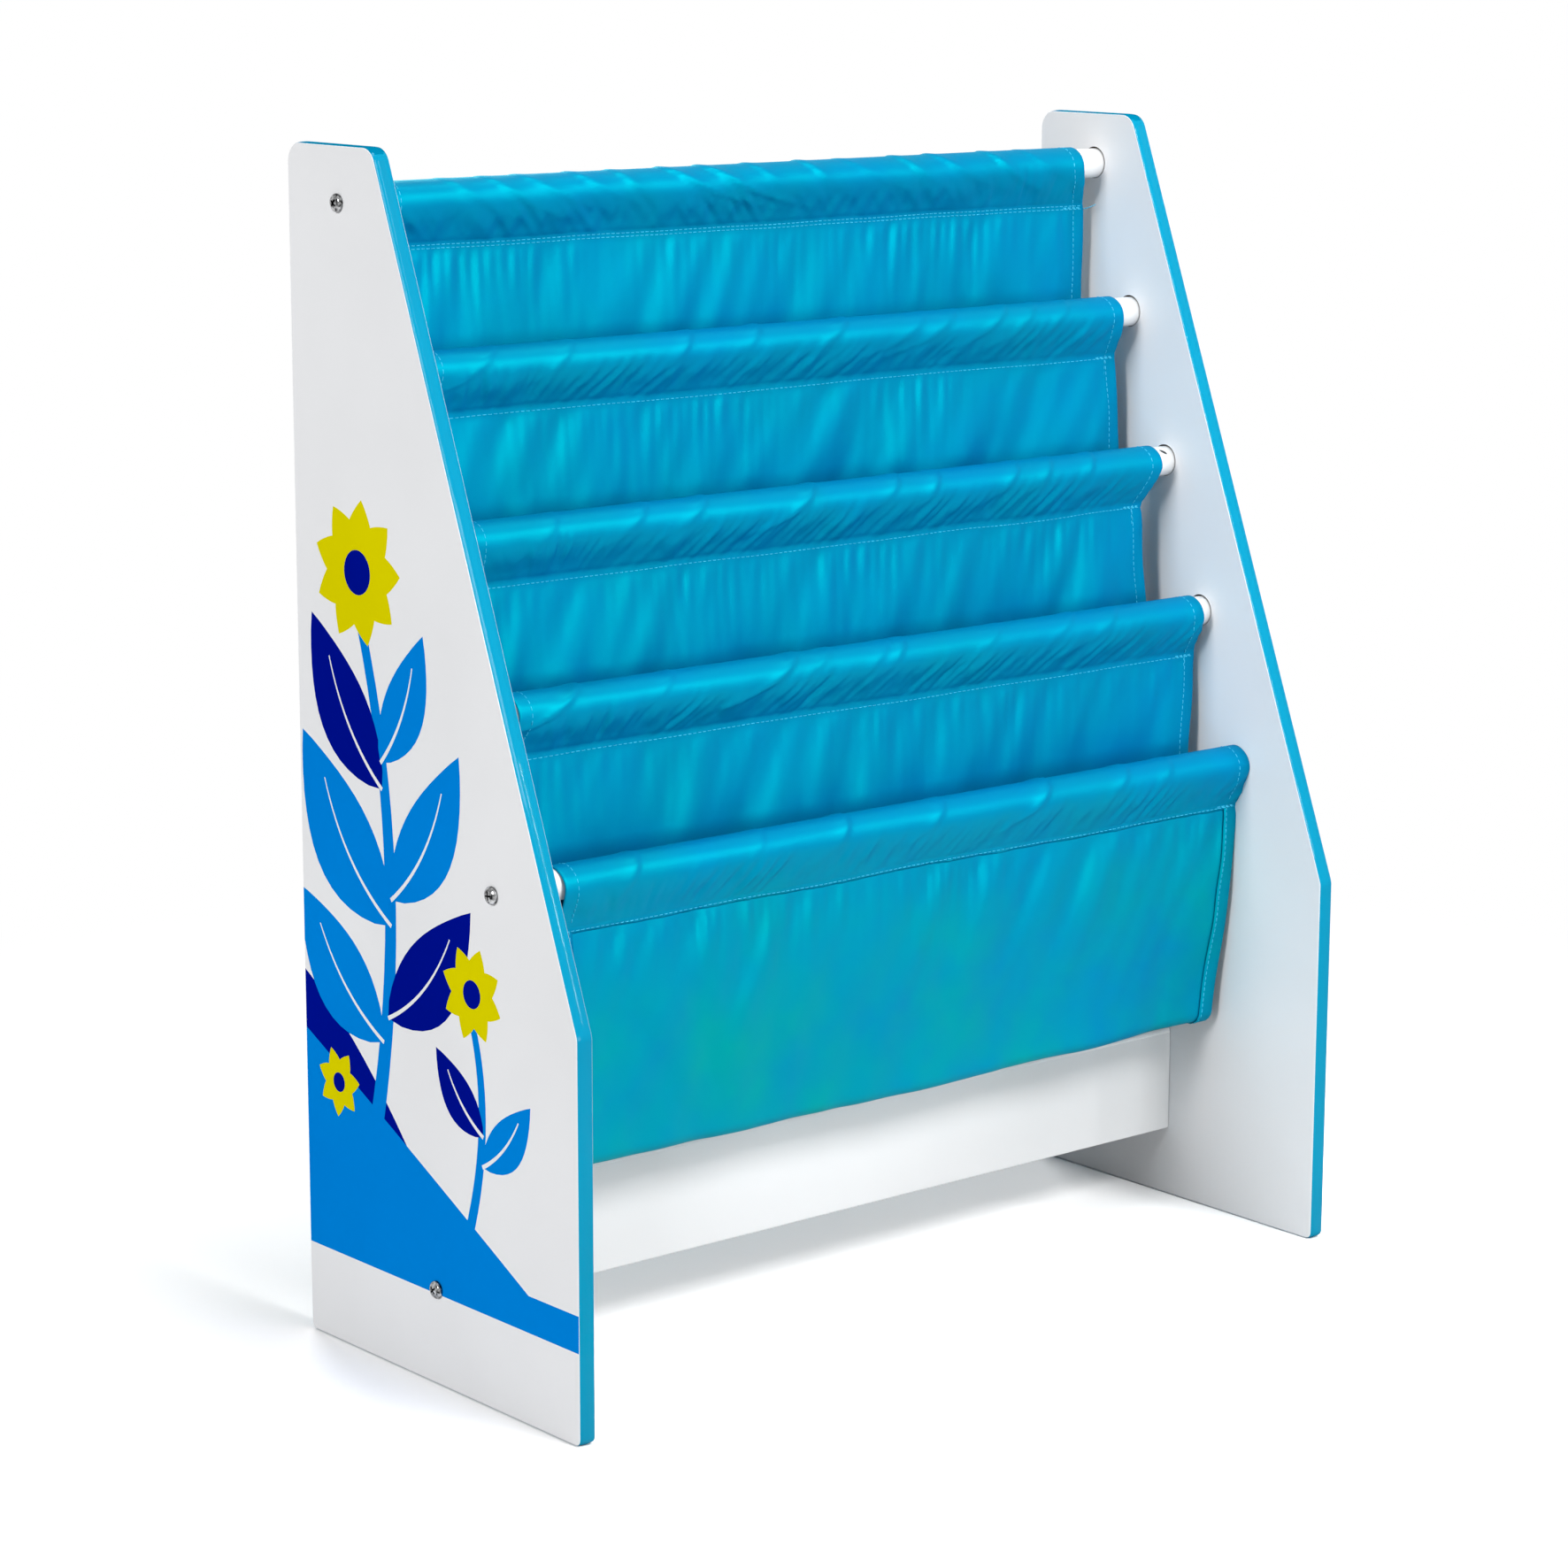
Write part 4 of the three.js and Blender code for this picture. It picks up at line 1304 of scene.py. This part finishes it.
def sling():
    """The strip of cloth as one thin closed sheet."""
    points = cloth_points()
    normals = grid_normals(points)
    rows, across = points.shape[:2]
    distance = stations["length"]
    from_end = smooth_step(np.minimum(distance, STRIP_LENGTH - distance), 0.0, END_LAP)
    points = points + normals * (SEAM_HALF_GAP * END_CLOSING * (1 - from_end))[:, None, None]
    half = (CLOTH_THICKNESS / 2 * (END_THINNING + (1 - END_THINNING) * from_end))[:, None, None]
    vertices = np.stack([points + normals * half, points - normals * half]).reshape(-1, 3)
    numbers = np.arange(rows * across).reshape(rows, across)
    first = numbers[:-1, :-1].ravel()
    quads = np.stack([first, first + 1, first + across + 1, first + across], axis=1)
    loop = np.concatenate([numbers[0], numbers[1:, -1], numbers[-1, -2::-1], numbers[-2:0:-1, 0]])
    after = np.roll(loop, -1)
    rim = np.stack([loop, loop + numbers.size, after + numbers.size, after], axis=1)
    faces = np.concatenate([quads, quads[:, ::-1] + numbers.size, rim])
    piece = add_object("sling_cloth", vertices.tolist(), faces.tolist(), [SLING_CLOTH])
    flat = np.broadcast_arrays(columns[:, 2][None, :] + HALF_WIDTH + HEM_WIDTH, distance[:, None])
    flat = np.tile(np.stack(flat, axis=2).reshape(-1, 2), (2, 1))
    layer = piece.data.uv_layers.new(name="flat_cloth")
    layer.data.foreach_set("uv", flat[faces.ravel()].astype(np.float32).ravel())
    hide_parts(*[f"sleeve_{k + 1}" for k in RAILS], *[f"pocket_{k + 1}" for k in POCKETS])
    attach(piece, "frame")
    return piece, points, normals


# Stitches: short threads that lie on the cloth

STITCH_LENGTH = 0.0031
STITCH_GAP_SHARE = 0.28
THREAD_RADIUS = 0.00023
THREAD_SIDES = 5
THREAD_SHARES = (0.0, 0.2, 0.8, 1.0)
THREAD_LIFTS = (-0.9, 0.55, 0.55, -0.9)
STITCH_INSET = 0.0015
LOCK_WIDTH = 0.016
LOCK_SHIFT = 0.001
LOCK_HEIGHTS = (0.0007, 0.0012)
SEAM_STITCH_HEIGHT = 0.0003
SECOND_STITCH_HEIGHT = 0.0021
HEM_STITCH_INSET = 0.0075
HEM_STITCH_START = 0.004
LOOSE_INSET = 0.001
LOOSE_ROUND = (0.64, 0.77)
LOOSE_STEPS = (
    (0.0, 0.0, 0.0), (0.0012, -0.0010, 0.0001), (0.0024, -0.0026, 0.0007), (0.0034, -0.0045, 0.0016),
    (0.0044, -0.0062, 0.0026))


def on_cloth(points, distance, across):
    """Points of the sheet at places given by distance along the strip and across it."""
    distance, across = np.broadcast_arrays(distance, across)
    row = np.interp(distance, stations["length"], np.arange(station_count))
    places = columns[first_column:first_column + column_count, 0]
    column = np.interp(across, places, np.arange(column_count)) + first_column
    low_row = np.minimum(row.astype(int), station_count - 2)
    low_column = np.minimum(column.astype(int), len(columns) - 2)
    share_row = (row - low_row)[..., None]
    share_column = (column - low_column)[..., None]
    upper, lower = (
        points[number, low_column] * (1 - share_column) + points[number, low_column + 1] * share_column
        for number in (low_row, low_row + 1)
    )
    return upper * (1 - share_row) + lower * share_row


def stitches(starts, ends, normals):
    """The vertices of threads from starts to ends, bent into the cloth at both ends."""
    along = ends - starts
    length = np.linalg.norm(along, axis=1)[:, None]
    along = along / length
    normals = normals - along * np.sum(normals * along, axis=1)[:, None]
    normals /= np.linalg.norm(normals, axis=1)[:, None]
    side = np.cross(along, normals)
    rings = []
    for share, lift in zip(THREAD_SHARES, THREAD_LIFTS):
        centre = starts + along * length * (STITCH_GAP_SHARE / 2 + share * (1 - STITCH_GAP_SHARE))
        centre = centre + normals * THREAD_RADIUS * lift
        for angle in angles_round(THREAD_SIDES):
            rings.append(centre + THREAD_RADIUS * (normals * math.cos(angle) + side * math.sin(angle)))
    return np.stack(rings, axis=1).reshape(-1, 3)


def add_threads(name, vertices, ring_count):
    """Threads of as many rings each, as one piece."""
    pattern = tube_faces(ring_count, THREAD_SIDES)
    faces = []
    for base in range(0, len(vertices), ring_count * THREAD_SIDES):
        faces += [tuple(base + n for n in face) for face in pattern]
    piece = add_object(name, vertices, faces, [STITCH_THREAD])
    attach(piece, "frame")
    return piece


def stitch_line(points, normals, distances, across, side=-1, lift=0.0):
    """One stitch between each two places, on the side of the cloth given by its sign."""
    facing = on_cloth(normals, distances, across) * side
    places = on_cloth(points, distances, across) + facing * (CLOTH_THICKNESS / 2 + lift)
    return stitches(places[:-1], places[1:], (facing[:-1] + facing[1:]) / 2)


def seam_stitches(points, normals):
    """A line on both sides of each seam, a second one at the top seam, and locking stitches at the right."""
    lines = []
    end = HALF_WIDTH - STITCH_INSET
    places = np.arange(-end, end, STITCH_LENGTH)
    lock = np.arange(HALF_WIDTH - LOCK_WIDTH, end, STITCH_LENGTH) + LOCK_SHIFT
    for k in RAILS:
        front = part_length(2 * k + 1) if k in POCKETS else STRIP_LENGTH - END_LAP
        back = part_length(2 * k) if k > 0 else END_LAP
        for height in (SEAM_STITCH_HEIGHT, SECOND_STITCH_HEIGHT) if k == 0 else (SEAM_STITCH_HEIGHT,):
            lines.append(stitch_line(points, normals, front - height, places))
            lines.append(stitch_line(points, normals, back + height, places))
        for height in LOCK_HEIGHTS:
            lines.append(stitch_line(points, normals, front - height, lock))
    return add_threads("seam_stitches", np.concatenate(lines), len(THREAD_SHARES))


def hem_stitches(points, normals):
    lines = []
    distances = np.arange(HEM_STITCH_START, STRIP_LENGTH - HEM_STITCH_START, STITCH_LENGTH)
    for side in SIDES.values():
        across = side * (HALF_WIDTH - HEM_STITCH_INSET)
        lines.append(stitch_line(points, normals, distances, across))
        lines.append(stitch_line(points, normals, distances, across, 1, HEM_OFFSET))
    return add_threads("hem_stitches", np.concatenate(lines), len(THREAD_SHARES))


def loose_thread(points):
    """The end of a thread that hangs out of the top seam on the right."""
    start = on_cloth(points, part_length(1) - SEAM_STITCH_HEIGHT, HALF_WIDTH - LOOSE_INSET)
    vertices = []
    for step in LOOSE_STEPS:
        for angle in angles_round(THREAD_SIDES):
            ring = np.array([*[share * math.cos(angle) for share in LOOSE_ROUND], math.sin(angle)])
            vertices.append(start + np.array(step) + ring * THREAD_RADIUS)
    return add_threads("loose_thread", vertices, len(LOOSE_STEPS))


# Camera, light and floor

CAMERA_PLACE = (-1.4024, -1.6305, 0.7171)
CAMERA_HEADING = -39.98
CAMERA_PITCH = -11.80
CAMERA_ROLL = 0.128
CAMERA_LENS = 97.87
CAMERA_CLIP = (0.05, 60)
SENSOR_WIDTH = 36.0
AMBIENT_LIGHT = 0.12
WHITE_LIGHT = (1, 1, 1, 1)
FLOOR_HALF = 7.0
FLOOR_SEEN = (1.12, 1.12, 1.12, 1)
FLOOR_FADE_START = 0.3
FLOOR_FADE_END = 0.95


def camera():
    data = bpy.data.cameras.new("camera")
    data.lens = CAMERA_LENS
    data.sensor_width = SENSOR_WIDTH
    data.clip_start, data.clip_end = CAMERA_CLIP
    viewer = bpy.data.objects.new("camera", data)
    bpy.context.scene.collection.objects.link(viewer)
    turn = Matrix.Rotation(math.radians(CAMERA_HEADING), 4, "Z")
    tilt = Matrix.Rotation(math.radians(90 + CAMERA_PITCH), 4, "X")
    roll = Matrix.Rotation(math.radians(CAMERA_ROLL), 4, "Z")
    viewer.matrix_world = Matrix.Translation(CAMERA_PLACE) @ turn @ tilt @ roll
    bpy.context.scene.camera = viewer


def soft_box(name, place, width, height, power, aim=(0, 0, 0.3)):
    data = bpy.data.lights.new(name, "AREA")
    data.shape = "RECTANGLE"
    data.size = width
    data.size_y = height
    data.energy = power
    lamp = bpy.data.objects.new(name, data)
    bpy.context.scene.collection.objects.link(lamp)
    lamp.location = place
    lamp.rotation_euler = (Vector(aim) - Vector(place)).to_track_quat("-Z", "Y").to_euler()


def background_rays(tree):
    """1 for rays that should see the plain background, 0 for those that light the object."""
    path = add_node(tree, "LightPath", {}).outputs
    seen = calculated(tree, "MAXIMUM", path["Is Camera Ray"], path["Is Glossy Ray"])
    return calculated(tree, "MAXIMUM", seen, path["Is Transmission Ray"])


def world():
    scene_world = bpy.data.worlds.new("plain_world")
    bpy.context.scene.world = scene_world
    scene_world.use_nodes = True
    tree = scene_world.node_tree
    ambient = tree.nodes["Background"]
    set_inputs(tree, ambient, {"Color": WHITE_LIGHT, "Strength": AMBIENT_LIGHT})
    backdrop = add_node(tree, "Background", {"Color": WHITE_LIGHT}).outputs["Background"]
    mix = mixed_shader(tree, background_rays(tree), ambient.outputs["Background"], backdrop)
    set_inputs(tree, tree.nodes["World Output"], {"Surface": mix})


def floor():
    """A pale floor that turns white away from the object, and in the camera's view is near white all over."""
    material, tree, shader, coordinates = new_material("pale_floor")
    seen = background_rays(tree)
    set_inputs(tree, shader, {
        "Base Color": ramp(tree, seen, linear("A4A4A4"), FLOOR_SEEN, 0.0, 1.0),
        "Roughness": 0.9,
        "Specular IOR Level": 0.0,
    })
    distance = distance_from_zero(tree, coordinates["Object"])
    fade = map_range(tree, distance, FLOOR_FADE_START, FLOOR_FADE_END, "SMOOTHSTEP")
    plain = add_node(tree, "Emission", {})
    share = calculated(tree, "MULTIPLY", fade, seen)
    mix = mixed_shader(tree, share, shader.outputs["BSDF"], plain.outputs["Emission"])
    set_inputs(tree, tree.nodes["Material Output"], {"Surface": mix})
    corners = [(x * FLOOR_HALF, y * FLOOR_HALF, 0) for x, y in ((-1, -1), (1, -1), (1, 1), (-1, 1))]
    ground = add_object("floor", corners, [(0, 1, 2, 3)], [material], False)


# The assembly

camera()
world()
floor()
soft_box("side_light", (-5.4, -0.7, 2.6), 1.8, 1.8, 226)
soft_box("key_light", (0.30, -2.2, 2.1), 1.1, 0.8, 50)
soft_box("fill_light", (0.30, -2.8, 0.50), 1.1, 0.8, 29)
soft_box("top_light", (0.4, -0.45, 2.8), 1.2, 0.7, 23)
soft_box("edge_light", (0.95, -1.50, 1.28), 0.05, 0.9, 8, aim=(-0.25, -0.03, 0.4))
soft_box("back_light", (0.9, 2.3, 2.0), 1.0, 1.0, 43)

for side_name, side in SIDES.items():
    side_panel(side_name, side)
for k in RAILS:
    rail(k)
cross_bar()
screws()
for side_name in SIDES:
    dowel_materials = frame["nodes"][f"locating_dowel_{side_name}"].data.materials
    dowel_materials.clear()
    dowel_materials.append(BARE_BEECH)
cloth, cloth_grid, cloth_normals = sling()
threads = [
    seam_stitches(cloth_grid, cloth_normals),
    hem_stitches(cloth_grid, cloth_normals),
    loose_thread(cloth_grid),
]

bpy.context.scene.view_settings.view_transform = "Standard"
